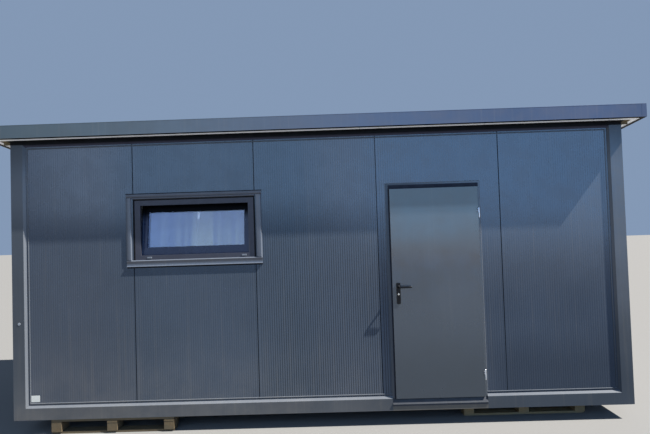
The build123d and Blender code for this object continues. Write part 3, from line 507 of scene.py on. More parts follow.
def black_void():
    m = Mat("eaves_shadow_paint")
    z = m.noise(9.0, 4, 0.6)
    dark = m.mix(m.span(z, 0.3, 0.7), srgb(8, 9, 12), srgb(14, 16, 20))
    x = m.axis("X")
    ends = m.math("GREATER_THAN", m.math("ABSOLUTE", x), 3.001)
    earth = m.mix(m.span(m.noise(30.0, 4, 0.6), 0.3, 0.7), srgb(84, 74, 56), srgb(120, 106, 80))
    m.color(m.mix(ends, dark, earth))
    m.set(Specular_IOR_Level=0.12)
    m.rough(m.span(m.noise(20.0), 0.3, 0.7, 0.55, 0.75))
    m.bump(m.noise(300.0, 2), 0.0002, 0.4)
    return m.m


def plastic(name, base, rough=(0.35, 0.5), cloud=0.06, grainy=0.0, spec=0.5, top_shade=None, dirty=0.16):
    """moulded or extruded plastic; given (from height, to height, colour) it paints shade upwards, darkening to that
    colour with less gloss
    """
    m = Mat(name)
    m.set(Specular_IOR_Level=spec)
    a = m.noise(11.0, 4, 0.6)
    col = m.mix(m.span(a, 0.3, 0.7), tint(base, 1 - cloud), tint(base, 1 + cloud))
    dirt = m.noise(60.0, 4, 0.65)
    col = m.mix(m.math("MULTIPLY", m.span(dirt, 0.56, 0.8), dirty), col, DUST)
    if top_shade is not None:
        # painted shade: darker and less glossy upwards
        rise = m.span(m.axis("Z"), top_shade[0], top_shade[1])
        col = m.mix(rise, col, top_shade[2])
        m.link(m.math("MULTIPLY", m.math("SUBTRACT", 1.08, rise), spec), m.b.inputs["Specular IOR Level"])
    m.color(col)
    m.rough(m.span(m.noise(23.0, 3), 0.3, 0.7, rough[0], rough[1]))
    if grainy:
        fibre = m.noise(1.0, 5, 0.6, at=m.coords((9, 260, 260)))
        m.bump(fibre, 0.0004, grainy)
    m.bump(m.noise(520.0, 2), 0.00012, 0.35)
    return m.m


def metal(name, base, rough=(0.28, 0.45), brushed=(300, 300, 12)):
    m = Mat(name)
    a = m.noise(30.0, 4, 0.6)
    m.color(m.mix(m.span(a, 0.3, 0.7), tint(base, 0.82), tint(base, 1.06)))
    m.set(Metallic=0.92)
    m.rough(m.span(m.noise(40.0, 3), 0.3, 0.7, rough[0], rough[1]))
    m.bump(m.noise(1.0, 3, 0.6, at=m.coords(brushed)), 0.00015, 0.4)
    return m.m


def timber(name, pale, deep, grey):
    """rough sawn weathered softwood; the grain runs along the board's first
    own coordinate, kept in the mesh"""
    m = Mat(name)
    at = m.t.nodes.new("ShaderNodeAttribute")
    at.attribute_name = "grain"
    g = at.outputs["Vector"]
    rings = m.noise(1.0, 5, 0.62, at=m.coords((1.6, 46, 46), g), dist=0.6)
    fibre = m.noise(1.0, 4, 0.7, at=m.coords((11, 420, 420), g))
    board = m.noise(0.37, 0, 0.5, at=m.coords((0.001, 1, 1), g))
    col = m.ramp(rings, [(0.25, deep), (0.45, pale), (0.58, tint(pale, 0.86)), (0.75, deep)])
    col = m.mix(m.span(fibre, 0.35, 0.75, 0.0, 0.5), col, tint(deep, 0.62))
    age = m.noise(5.0, 4, 0.6, at=m.coords((0.6, 1.5, 1.5), g))
    col = m.mix(m.span(age, 0.32, 0.66, 0.25, 0.85), col, grey)
    wet = m.noise(9.0, 5, 0.6)
    col = m.mix(m.span(wet, 0.55, 0.80, 0.0, 0.45), col, tint(deep, 0.45))
    # the pallets at the right-hand end are painted lighter, painted light that lifts them out of the shade under the
    # cabin
    col = m.mix(m.span(m.axis("X"), 0.2, 1.2), col, (2.3, 2.3, 2.15), "MULTIPLY")
    m.color(col)
    m.rough(m.span(fibre, 0.2, 0.8, 0.78, 0.95))
    m.set(Specular_IOR_Level=0.25)
    m.bump(rings, 0.0012, 0.5)
    m.bump(fibre, 0.0007, 0.6)
    return m.m


def floor_board():
    m = Mat("floor_board")
    a = m.noise(1.0, 5, 0.6, at=m.coords((3, 60, 60)), dist=0.3)
    col = m.ramp(a, [(0.25, srgb(104, 92, 76)), (0.5, srgb(136, 122, 102)), (0.75, srgb(118, 104, 86))])
    b = m.noise(1.0, 4, 0.6, at=m.coords((14, 300, 300)))
    col = m.mix(m.span(b, 0.45, 0.8, 0.0, 0.35), col, srgb(86, 74, 60))
    m.color(col)
    m.rough(m.span(m.noise(14.0), 0.3, 0.7, 0.38, 0.55))
    m.bump(b, 0.0003, 0.3)
    return m.m


def glass():
    """double glazing: mirrors the sky with a blue cast, clear behind it"""
    m = Mat("window_pane")
    m.set(Metallic=0.85, Alpha=0.16)
    z = m.axis("Z")
    # painted reflection: the pane's tone turns greyer to its right and darker towards its top
    across = m.span(m.axis("X"), -1.68, -1.05)
    tone = m.mix(across, (0.50, 0.60, 0.82), (0.74, 0.78, 0.80))
    veil = m.noise(1.0, 3, 0.5, at=m.coords((14.0, 1, 0.25)))
    tone = m.mix(m.span(veil, 0.40, 0.62, 0.0, 0.6), tone, (0.36, 0.45, 0.70))
    m.color(m.mix(m.span(z, 1.80, 2.12, 0.0, 0.5), tone, (0.36, 0.43, 0.64)))
    m.rough(m.span(m.noise(30.0), 0.3, 0.7, 0.03, 0.10))
    m.bump(m.noise(3.0, 2), 0.0008, 0.10)
    return m.m


mat_eaves = black_void()
mat_pvc = plastic("window_profile", srgb(44, 46, 56), grainy=0.25, spec=0.34, dirty=0.08)
# painted shade: the sash darkens to near black towards its top
mat_pvc_in = plastic("window_profile_dark", srgb(24, 34, 60), rough=(0.24, 0.36), grainy=0.2, spec=0.32,
                     top_shade=(2.04, 2.14, srgb(5, 6, 9)), dirty=0.06)
mat_cap = plastic("drain_cap", srgb(82, 88, 96))
mat_plug = plastic("post_plug_cap", srgb(114, 119, 126))
mat_rubber = plastic("seal_rubber", srgb(12, 13, 16), rough=(0.6, 0.8), spec=0.10, dirty=0.03)
mat_seal = plastic("door_seal_rubber", srgb(20, 25, 38), rough=(0.5, 0.7), spec=0.2, dirty=0.03)
mat_white = plastic("white_moulding", srgb(226, 228, 228), rough=(0.22, 0.34), cloud=0.03)
mat_black = plastic("handle_black", srgb(9, 9, 11), rough=(0.24, 0.36), spec=0.22, dirty=0.03)
mat_label = plastic("blank_plate", srgb(174, 176, 171), rough=(0.3, 0.42), cloud=0.04)
mat_zinc = metal("zinc_plate", (0.66, 0.67, 0.69), rough=(0.34, 0.5))


def hinge():
    """zinc barrel; the flags are painted like the leaf"""
    m = Mat("hinge_metal")
    off = m.math("ABSOLUTE", m.math("SUBTRACT", m.axis("X"), X(4589.0)))
    barrel = m.math("LESS_THAN", off, 0.0072)
    mottle = m.span(m.noise(30.0, 4, 0.6), 0.3, 0.7)
    m.color(m.mix(barrel, m.mix(mottle, srgb(44, 50, 58), srgb(52, 58, 66)), m.mix(mottle, (0.44, 0.46, 0.49), (0.56, 0.58, 0.61))))
    m.link(m.math("MULTIPLY", barrel, 0.9), m.b.inputs["Metallic"])
    m.rough(m.span(m.noise(40.0, 3), 0.3, 0.7, 0.34, 0.5))
    m.bump(m.noise(400.0, 2), 0.0001, 0.4)
    return m.m


mat_hinge = hinge()
mat_brass = metal("lock_metal", (0.82, 0.80, 0.74), rough=(0.2, 0.3))
mat_wood = timber("pallet_timber", srgb(98, 83, 60), srgb(58, 46, 31), srgb(75, 68, 54))
mat_nail = metal("nail_heads", (0.32, 0.26, 0.22), rough=(0.5, 0.7))
mat_floor_in = floor_board()
mat_glass = glass()

PAINT = {
    "corner_posts": mat_frame, "base_rail_front_left": mat_frame, "base_rail_front_right": mat_frame,
    "base_rail_under_door": mat_rail_door, "base_rail_rear": mat_frame, "base_rails_sides": mat_frame,
    "top_rail_front": mat_head, "top_rail_rear": mat_head, "top_rails_sides": mat_frame,
    "floor_joists": mat_joist, "floor_deck": mat_floor_in,
    "front_panel_1": mat_wall_y, "front_panel_2": mat_wall_y, "front_panel_3": mat_wall_y,
    "front_panel_4_left": mat_wall_y, "front_panel_4_right": mat_wall_y,
    "front_panel_4_over_door": mat_wall_y, "front_panel_5": mat_wall_y,
    "rear_wall_panels": mat_wall_back, "left_wall_panels": mat_wall_left, "right_wall_panels": mat_wall_right,
    "roof_panels": mat_roof, "fascia_front": mat_flash, "fascia_rear": mat_flash, "fascia_sides": mat_flash,
    "eaves_angles": mat_eaves, "window_trim": mat_trim, "window_frame": mat_pvc, "window_sash": mat_pvc_in,
    "window_glass": mat_glass, "window_handle": mat_white, "door_frame": mat_door_frame, "door_sill": mat_sill,
    "door_leaf": mat_door, "door_hinge_frame_halves": mat_hinge, "door_hinge_leaf_halves": mat_hinge,
    "handle_plates": mat_black, "lock_cylinder": mat_brass, "door_levers": mat_black,
    "label_plate": mat_label, "post_plug": mat_plug,
    "pallet_bottom_boards": mat_wood, "pallet_blocks": mat_wood,
    "pallet_stringer_boards": mat_wood, "pallet_deck_boards": mat_wood,
}
for n, o in NODES.items():
    o.data.materials.clear()
    o.data.materials.append(PAINT[n])

# ---------------------------------------------------------------------------
# wall facings: fine upright ribs on every panel, as closed sheets on its face
# ---------------------------------------------------------------------------
RIB_LOW, RIB_HIGH = 0.2, 0.6


def rib_breaks(a, b):
    """(distance, height) along a panel from a to b, plain for 12 mm at each edge"""
    first, last = a + 12.0, b - 12.0
    n = max(1, round((last - first) / 22.0))
    p = (last - first) / n
    out = [(a, RIB_LOW), (a + 2.0, RIB_HIGH)]
    for k in range(n):
        s = first + k * p
        out += [(s, RIB_HIGH), (s + 0.58 * p, RIB_HIGH), (s + 0.68 * p, RIB_LOW), (s + 0.90 * p, RIB_LOW)]
    out += [(last, RIB_HIGH), (b - 2.0, RIB_HIGH), (b, RIB_LOW)]
    return out


def height_at(breaks, s):
    for (a, h), (b, k) in zip(breaks, breaks[1:]):
        if a <= s <= b:
            return h if b == a else h + (k - h) * (s - a) / (b - a)
    return RIB_LOW


def facing(build, face, panel, patches):
    """patches: (from, to, lower edge, function of s giving the upper edge)"""
    breaks = rib_breaks(*panel)
    for a, b, z0, top in patches:
        line = [(a, height_at(breaks, a))] + [q for q in breaks if a < q[0] < b] + [(b, height_at(breaks, b))]
        verts, faces = [], []
        for s, h in line:
            z1 = top(s)
            verts += [face.at(s, z0, h), face.at(s, z1, h), face.at(s, z1, -0.6), face.at(s, z0, -0.6)]
        for i in range(len(line) - 1):
            p, q = 4 * i, 4 * i + 4
            faces += [[p, q, q + 1, p + 1], [p + 2, q + 2, q + 3, p + 3],
                      [p + 1, q + 1, q + 2, p + 2], [p + 3, q + 3, q, p]]
        e = 4 * len(line) - 4
        faces += [[0, 1, 2, 3], [e, e + 3, e + 2, e + 1]]
        build.add(verts, faces)


def flat_top(z):
    return lambda s: z


HOLE_X0, HOLE_X1, HOLE_TOP = FRAME_X0 + 8, FRAME_X1 - 8, FRAME_TOP - 8
half = SEAM / 2

LABEL_X0, LABEL_X1, LABEL_Z0, LABEL_Z1 = 161.0, 247.0, 168.0, 232.0
b = Build()
facing(b, FRONT, (POST_OUT, MODULE - half), [
    (POST_OUT, LABEL_X0, RAIL_TOP, flat_top(FRONT_HEAD)),
    (LABEL_X0, LABEL_X1, RAIL_TOP, flat_top(LABEL_Z0)),
    (LABEL_X0, LABEL_X1, LABEL_Z1, flat_top(FRONT_HEAD)),
    (LABEL_X1, MODULE - half, RAIL_TOP, flat_top(FRONT_HEAD))])
facing(b, FRONT, (MODULE + half, 2 * MODULE - half), [
    (MODULE + half, 2 * MODULE - half, RAIL_TOP, flat_top(WIN_Z0 - 2)),
    (MODULE + half, 2 * MODULE - half, WIN_Z1 + 2, flat_top(FRONT_HEAD))])
facing(b, FRONT, (2 * MODULE + half, 3 * MODULE - half),
       [(2 * MODULE + half, 3 * MODULE - half, RAIL_TOP, flat_top(FRONT_HEAD))])
facing(b, FRONT, (3 * MODULE + half, 4 * MODULE - half), [
    (3 * MODULE + half, HOLE_X0, RAIL_TOP, flat_top(FRONT_HEAD)),
    (HOLE_X0, HOLE_X1, HOLE_TOP, flat_top(FRONT_HEAD)),
    (HOLE_X1, 4 * MODULE - half, RAIL_TOP, flat_top(FRONT_HEAD))])
facing(b, FRONT, (4 * MODULE + half, LENGTH - POST_OUT),
       [(4 * MODULE + half, LENGTH - POST_OUT, RAIL_TOP, flat_top(FRONT_HEAD))])
make("front_wall_facing", b, mat_rib_front)

b = Build()
for i in range(5):
    s0 = POST_OUT if i == 0 else MODULE * i + half
    s1 = LENGTH - POST_OUT if i == 4 else MODULE * (i + 1) - half
    facing(b, REAR, (s0, s1), [(s0, s1, RAIL_TOP, flat_top(REAR_HEAD))])
make("rear_wall_facing", b, mat_rib_rear)

for name, face, mat, rise in (("left_wall_facing", LEFT, mat_rib_left, lambda s: roof(WIDTH - s) - TOP_DROP),
                              ("right_wall_facing", RIGHT, mat_rib_right, lambda s: roof(s) - TOP_DROP)):
    b = Build()
    for s0, s1 in ((POST_OUT, MODULE - half), (MODULE + half, WIDTH - POST_OUT)):
        facing(b, face, (s0, s1), [(s0, s1, RAIL_TOP, rise)])
    make(name, b, mat)

# beads that hold the panels in the frame
BEAD = [(10.0, -0.5), (10.0, 3.0), (11.4, 5.2), (13.4, 6.0), (18.6, 6.0), (20.6, 5.2), (22.0, 3.0), (22.0, -0.5)]


def wall_outline(face_len, head0, head1):
    return [(POST_OUT, RAIL_TOP), (face_len - POST_OUT, RAIL_TOP), (face_len - POST_OUT, head1), (POST_OUT, head0)]


b = Build()
moulding(b, FRONT, [(FRAME_X1, RAIL_TOP), (LENGTH - POST_OUT, RAIL_TOP), (LENGTH - POST_OUT, FRONT_HEAD),
                    (POST_OUT, FRONT_HEAD), (POST_OUT, RAIL_TOP), (FRAME_X0, RAIL_TOP)], BEAD, closed=False)
make("front_wall_bead", b, mat_frame)
b = Build()
moulding(b, REAR, wall_outline(LENGTH, REAR_HEAD, REAR_HEAD), BEAD)
make("rear_wall_bead", b, mat_frame)
b = Build()
moulding(b, LEFT, wall_outline(WIDTH, roof(WIDTH - POST_OUT) - TOP_DROP, roof(POST_OUT) - TOP_DROP), BEAD)
make("left_wall_bead", b, mat_frame)
b = Build()
moulding(b, RIGHT, wall_outline(WIDTH, roof(POST_OUT) - TOP_DROP, roof(WIDTH - POST_OUT) - TOP_DROP), BEAD)
make("right_wall_bead", b, mat_frame)

# ---------------------------------------------------------------------------
# roof edge: folded sheet with a stiffening hem, mitred at the corners
# ---------------------------------------------------------------------------
# (inwards from the outer edge, height over the roof underside)
FASCIA_OUT = [(37.0, -3.0), (3.0, -3.0), (1.4, -2.5), (0.9, -1.2), (0.9, 118.0), (0.3, 119.6),
              (0.3, 124.0), (1.4, 125.0), (38.0, 125.0), (40.0, 124.0), (40.0, 118.0),
              (38.8, 118.0), (38.8, 123.0), (2.6, 123.0), (2.6, -1.2), (37.0, -1.2)]


def fascia(build, corners):
    """corners: two plan points (x, y) with the corner's inward directions"""
    rings = []
    for (x, y), (ix, iy) in corners:
        ring = []
        for t, h in FASCIA_OUT:
            px, py = x + ix * t, y + iy * t
            ring.append(P(px, py, roof(py) + h))
        rings.append(ring)
    build.skin(rings)


o = OVERHANG
FL, FR = ((-o, -o), (1, 1)), ((LENGTH + o, -o), (-1, 1))
RL, RR = ((-o, WIDTH + o), (1, -1)), ((LENGTH + o, WIDTH + o), (-1, -1))
b = Build()
fascia(b, (FL, FR))
make("fascia_front_sheet", b, mat_flash, swap=("fascia_front",))
b = Build()
fascia(b, (RR, RL))
make("fascia_rear_sheet", b, mat_flash, swap=("fascia_rear",))
b = Build()
fascia(b, (RL, FL))
fascia(b, (FR, RR))
make("fascia_side_sheets", b, mat_flash, swap=("fascia_sides",))

# folded covers over the four corners of the roof edge
b = Build()
for (x, y), (ix, iy) in (FL, FR, RL, RR):
    plan = [(0.1, 0.1), (45.2, 0.1), (46.0, 1.4), (1.4, 1.4), (1.4, 46.0), (0.1, 45.2)]
    b.skin([[P(x + ix * u, y + iy * v, roof(y + iy * v) + h) for u, v in plan] for h in (-2.2, 118.4)])
make("fascia_corner_covers", b, mat_flash)

# roofing screws with washers on the rib crests
b = Build()
tilt = Vector((0, math.sin(math.radians(5)), math.cos(math.radians(5))))
crest = (75.0 + 35.0) / math.cos(math.radians(5))
ribs = [-152.0 + 1200.0 * i + r for i in range(5) for r in (200.0, 600.0, 1000.0)] + [-152.0 + 6000.0 + 152.0]
for x in ribs:
    for y in (45.0, 800.0, 1600.0, 2355.0):
        at = P(x, y, roof(y) + crest)
        b.turned(at - tilt * 0.0005, tilt, [(0, 0.0001), (0, 0.0085), (0.0016, 0.0085), (0.0022, 0.0078), (0.0024, 0.0045),
                                            (0.0024, 0.0041), (0.0066, 0.0041), (0.0070, 0.0036), (0.0070, 0.0001)], sides=6 * 2)
make("roof_screws", b, mat_zinc)

# ---------------------------------------------------------------------------
# window: surround with raised edges, seals, drain caps
# ---------------------------------------------------------------------------
SIDE_L = [(0.0, -0.5), (0.0, 11.0), (0.8, 12.6), (2.4, 13.4), (40.0, 13.4), (42.0, 12.8), (43.4, 11.6), (52.0, -1.6),
          (53.0, -3.0), (53.0, -3.8), (10.0, -0.5)]
SIDE_R = [(0.0, -0.5), (0.0, 0.6), (9.5, 11.6), (11.6, 13.0), (14.0, 13.4), (52.0, 13.4), (54.6, 12.6), (55.6, 10.6),
          (56.5, -3.0), (56.5, -3.8), (10.0, -0.5)]
HEAD = [(0.0, -0.5), (0.0, 4.6), (0.8, 6.2), (2.4, 7.0), (34.0, 7.0), (36.2, 6.0), (37.6, 3.6), (37.6, -0.5)]
DRIP = [(35.0, -0.5), (35.0, 9.5), (36.2, 12.2), (38.6, 13.4), (47.6, 13.4), (50.2, 12.4), (51.5, 10.0), (52.0, 4.0), (52.0, -3.8), (46.0, -3.8)]
FOOT = [(0.0, -0.5), (0.0, 14.6), (0.8, 16.0), (2.2, 16.8), (3.8, 16.6), (11.0, 9.8), (13.0, 9.2), (49.0, 9.2), (51.4, 10.4),
        (54.4, 13.2), (56.4, 13.4), (64.0, 5.8), (65.0, 4.0), (65.0, -3.8), (60.0, -3.8), (10.0, -0.5)]


def member(build, section, a, b, face=FRONT):
    """a straight piece with the given section between two ends"""
    build.skin([[face.at(*at(t), h) for t, h in section] for at in (a, b)])


b = Build()
member(b, SIDE_L, lambda t: (TRIM_X0 + t, WIN_Z0), lambda t: (TRIM_X0 + t, WIN_Z1 + 15.0))
member(b, SIDE_R, lambda t: (TRIM_X1 - t, WIN_Z0), lambda t: (TRIM_X1 - t, WIN_Z1 + 15.0))
member(b, FOOT, lambda t: (TRIM_X0, TRIM_Z0 + t), lambda t: (TRIM_X1, TRIM_Z0 + t))
make("window_surround", b, mat_trim, swap=("window_trim",), soft=50)
b = Build()
member(b, HEAD, lambda t: (TRIM_X0, TRIM_Z1 - t), lambda t: (TRIM_X1, TRIM_Z1 - t))
member(b, DRIP, lambda t: (WIN_X0 - 6.0, TRIM_Z1 - t), lambda t: (WIN_X1 + 6.0, TRIM_Z1 - t))
make("window_surround_head", b, mat_trim_head, soft=50)

# seals: over the surround's head, and between the surround and the window frame; near black, they also stand for the
# shadow lines in these gaps (painted shade)
b = Build()
member(b, [(0.0, -0.4), (0.0, 5.0), (1.6, 7.4), (4.0, 7.4), (6.6, 5.0), (6.6, -0.4)],
       lambda t: (TRIM_X0 - 4.0, TRIM_Z1 + 5.6 - t), lambda t: (TRIM_X1 + 4.0, TRIM_Z1 + 5.6 - t))
moulding(b, FRONT, [(WIN_X1, WIN_Z0), (WIN_X1, WIN_Z1), (WIN_X0, WIN_Z1), (WIN_X0, WIN_Z0)],
         [(-17.0, -3.9), (-17.0, -2.2), (-15.0, -1.0), (-1.5, -1.0), (2.6, -2.2), (2.6, -4.3), (0.0, -4.3), (0.0, -3.9)], closed=False)
# under the surround's foot, and on the window frame along its head and sides: near-black strips where the shadow lines
# fall (painted shade)
member(b, [(0.0, -0.4), (0.0, 4.0), (10.0, 4.0), (12.0, 2.6), (12.0, -0.4)],
       lambda t: (TRIM_X0 + 2.0, TRIM_Z0 - t), lambda t: (TRIM_X1 - 2.0, TRIM_Z0 - t))
FRAME_FACE = Face((X(0), Y(26.0), Z(0)), (1, 0, 0), UP, (0, -1, 0))
strip = [(0.0, -0.4), (0.0, 3.0), (8.0, 3.0), (9.0, 2.0), (9.0, -0.4)]
member(b, [(0.0, -0.4), (0.0, 3.0), (11.0, 3.0), (12.0, 2.0), (12.0, -0.4)],
       lambda t: (WIN_X0 + 1.0, WIN_Z1 - t), lambda t: (WIN_X1 - 1.0, WIN_Z1 - t), FRAME_FACE)
member(b, strip, lambda t: (WIN_X0 + 1.0 + t, WIN_Z0 + 1.0), lambda t: (WIN_X0 + 1.0 + t, WIN_Z1 - 12.0), FRAME_FACE)
member(b, strip, lambda t: (WIN_X1 - 1.0 - t, WIN_Z0 + 1.0), lambda t: (WIN_X1 - 1.0 - t, WIN_Z1 - 12.0), FRAME_FACE)
make("window_surround_seal_and_shadow_lines", b, mat_rubber)

# sash plane: leans inwards about its foot
tilt8 = math.radians(8)
SASH = Face((X(0), Y(58.0), Z(WIN_Z0 + 44 - 12)), (1, 0, 0),
            (0, math.sin(tilt8), math.cos(tilt8)), (0, -math.cos(tilt8), math.sin(tilt8)))
b = Build()
g = [(1312.0, 89.0), (2282.0, 89.0), (2282.0, 448.0), (1312.0, 448.0)]
moulding(b, SASH, g, [(-3.0, 0.6), (-3.0, -0.5), (0.0, -0.5), (0.0, -15.8), (4.0, -15.8), (4.0, -13.2), (1.6, -1.0), (0.5, 0.6)])
make("pane_seal_outside", b, mat_pvc_in)
b = Build()
moulding(b, SASH, g, [(-3.0, -60.6), (-3.0, -59.5), (0.0, -59.5), (0.0, -40.2), (4.0, -40.2), (4.0, -42.8), (1.6, -59.0), (0.5, -60.6)])
make("pane_seal_inside", b, mat_rubber)

# moulded edge on the sash around the pane
b = Build()
moulding(b, SASH, [(1255.0, 0.0), (2346.0, 0.0), (2346.0, 528.0), (1255.0, 528.0)],
         [(0.0, -0.4), (0.0, 2.2), (2.0, 3.4), (14.0, 3.4), (18.0, 0.9), (18.0, -0.4)])
make("sash_edge", b, mat_pvc_in)

# two small caps over the drain slots at the foot of the window frame


def cap(build, face, s, z, w, h, d):
    rings = []
    for k, (inset, out) in enumerate(((0.0, -0.4), (0.0, d * 0.55), (0.8, d * 0.9), (2.2, d))):
        ring = []
        r = 2.6
        for cx, cz, a0 in ((w / 2 - r, h / 2 - r, 0), (-w / 2 + r, h / 2 - r, 90), (-w / 2 + r, -h / 2 + r, 180), (w / 2 - r, -h / 2 + r, 270)):
            for a in (0, 30, 60, 90):
                t = math.radians(a0 + a)
                rr = max(r - inset, 0.3)
                ring.append(face.at(s + cx + rr * math.cos(t), z + cz + rr * math.sin(t), out))
        rings.append(ring)
    build.skin(rings)


b = Build()
for s in (1352.0, 2286.0):
    cap(b, FRAME_FACE, s, 1543.0, 46.0, 16.0, 9.0)
make("window_drain_caps", b, mat_cap, soft=30)

# ---------------------------------------------------------------------------
# door: seal, furniture, hinge tips, sill ridges
# ---------------------------------------------------------------------------
FLANGE = Face((X(0), Y(17.0), Z(0)), (1, 0, 0), UP, (0, -1, 0))
# rubber seal round the leaf and a strip over its head; dark, so it also stands for the shade in the gap and under the
# header (painted shade)
b = Build()
seal = [(LEAF_X1 - 3.0, 108.0), (LEAF_X1 - 3.0, LEAF_Z1 + 8.0), (LEAF_X0 - 8.0, LEAF_Z1 + 8.0), (LEAF_X0 - 8.0, 108.0)]
moulding(b, FLANGE, seal, [(-3.0, -0.4), (-3.0, 2.4), (-2.0, 3.9), (0.0, 4.6), (13.0, 4.6), (14.0, 3.6), (14.0, -0.4)], closed=False)
rings = []
for x in (LEAF_X0 - 8.0, LEAF_X1 + 10.0):
    rings.append([FLANGE.at(x, LEAF_Z1 + u, h) for u, h in
                  ((2.0, -0.4), (2.0, 2.0), (5.0, 3.0), (33.0, 3.0), (37.0, 1.6), (38.0, -0.4))])
b.skin(rings)
make("door_seal_and_header_shade", b, mat_seal)

# mastic joint between the door frame and the wall
b = Build()
moulding(b, FRONT, [(FRAME_X0, SILL_TOP), (FRAME_X0, FRAME_TOP), (FRAME_X1, FRAME_TOP), (FRAME_X1, SILL_TOP)],
         [(-1.5, -0.4), (-1.5, 4.4), (1.5, 5.2), (4.2, 3.6), (6.0, 0.4), (6.0, -0.4)], closed=False)
make("door_frame_joint", b, mat_frame)

# sill: low ridges on its tread and a rolled lower edge on its nose
b = Build()
for y in (20.0, 36.0, 52.0, 70.0):
    rings = []
    for x in (LEAF_X0 + 22, LEAF_X1 - 22):
        rings.append([P(x, y + dy, SILL_TOP + dz) for dy, dz in ((-4.0, -0.3), (-2.6, 0.9), (-0.8, 1.4), (0.8, 1.4), (2.6, 0.9), (4.0, -0.3))])
    b.skin(rings)
make("sill_ridges", b, mat_sill, soft=40)
b = Build()
for z, r in ((SILL_NOSE - 5.0, 3.8),):
    rings = []
    for x in (FRAME_X0, FRAME_X1):
        rings.append([P(x, -5.0 + r * math.cos(k), z + r * math.sin(k)) for k in
                      (math.radians(a) for a in range(0, 360, 30))])
    b.skin(rings)
make("sill_rolled_edges", b, mat_sill_edge, soft=40)

# levers: round neck that bends into a flattened grip, outside and inside
b = Build()


def lever(build, y_plate, sign):
    """sign -1 outside, +1 inside; the neck leaves the plate square on"""
    def ring(c, along, wide, tall, up=Vector((0, 0, 1))):
        along = along.normalized()
        side = up.cross(along).normalized()
        pts = []
        for k in range(18):
            t = 2 * math.pi * k / 18
            ct, st = math.cos(t), math.sin(t)
            e = 0.75
            pts.append(c + side * (math.copysign(abs(ct) ** e, ct) * wide / 2) + up * (math.copysign(abs(st) ** e, st) * tall / 2))
        return pts

    out = Vector((0, sign, 0))
    right = Vector((1, 0, 0))
    rings = []
    root = P(LEVER_X, y_plate, LEVER_Z)
    for d, r in ((-0.001, 15.0), (0.005, 15.0), (0.0068, 12.5), (0.0085, 9.8), (0.018, 8.6), (0.024, 8.6)):
        rings.append(ring(root + out * d, out, 2 * r / 1000, 2 * r / 1000))
    turn, rad = root + out * 0.024, 0.014
    for a in (20, 40, 60, 80):
        t = math.radians(a)
        c = turn + out * (rad * math.sin(t)) + right * (rad * (1 - math.cos(t)))
        d = out * math.cos(t) + right * math.sin(t)
        k = a / 80
        rings.append(ring(c, d, (17.2 - 3.6 * k) / 1000, (17.2 + 2.4 * k) / 1000))
    for s, wide, tall, drop in ((0.022, 13.4, 19.8, 0.0), (0.045, 13.0, 19.6, 0.0), (0.075, 12.6, 19.0, 0.0), (0.100, 12.2, 18.4, 0.0),
                          (0.116, 11.6, 17.6, 0.0), (0.122, 9.4, 14.6, 0.0), (0.1252, 5.4, 8.6, 0.0)):
        rings.append(ring(turn + out * rad + right * s, right, wide / 1000, tall / 1000))
    build.skin(rings)


lever(b, -16.0, -1)
lever(b, 42.0, 1)
b.turned(P(LEVER_X, -20.0, LEVER_Z), (0, 1, 0), [(0, 0.004), (0.066, 0.004)], sides=8)
make("door_lever_pair", b, mat_black, body="door_handle", soft=40, swap=("door_levers",))

# plate screws and key slots of the lock
b = Build()
for y, sgn in ((-16.0, -1), (42.0, 1)):
    for z in (1036.0, 1216.0):
        b.turned(P(LEVER_X, y, z) - Vector((0, sgn, 0)) * 0.0004, (0, sgn, 0),
                 [(0, 0.0001), (0, 0.0046), (0.0010, 0.0046), (0.0018, 0.0034), (0.0021, 0.0001)], sides=14)
make("handle_screws", b, mat_black, body="door", soft=40)
b = Build()
for y, sgn in ((-19.0, -1), (45.0, 1)):
    at = P(LEVER_X, y, LOCK_Z)
    lo = at + Vector((-0.0009, -0.0004, -0.0048))
    hi = at + Vector((0.0009, 0.0004, 0.0036))
    b.box(lo, hi)
make("key_slots", b, mat_rubber, body="door")

# hinge tips and leaf screws
b = Build()
for hz in (321.0, 1886.0):
    top = P(4589.0, -3.0, hz + 46.0)
    b.turned(top - Vector((0, 0, 0.0004)), (0, 0, 1), [(0, 0.0001), (0, 0.0066), (0.0016, 0.0066), (0.0036, 0.0050), (0.0048, 0.0026), (0.0051, 0.0001)], sides=16)
    for dz in (14.0, 34.0):
        b.turned(P(4575.0, -9.8, hz + dz), (0, -1, 0), [(0, 0.0001), (0, 0.0032), (0.0009, 0.0029), (0.0013, 0.0001)], sides=12)
make("hinge_tips_leaf", b, mat_zinc, body="door", soft=40)
b = Build()
for hz in (321.0, 1886.0):
    foot = P(4589.0, -3.0, hz - 46.0)
    b.turned(foot + Vector((0, 0, 0.0004)), (0, 0, -1), [(0, 0.0001), (0, 0.0066), (0.0016, 0.0066), (0.0036, 0.0050), (0.0048, 0.0026), (0.0051, 0.0001)], sides=16)
make("hinge_tips_frame", b, mat_zinc, soft=40)

# ---------------------------------------------------------------------------
# pallets: sawn boards and blocks with worn edges, and their nails
# ---------------------------------------------------------------------------
PALLETS = ((364.0, 4.0), (4416.0, 185.0), (364.0, 1530.0), (4416.0, 1530.0))
DECK = [(0, 120), (170, 100), (340, 120), (530, 100), (680, 120)]
RUNNER_X = (0.0, 545.0, 1100.0)
BLOCK_Y = (0.0, 327.5, 655.0)


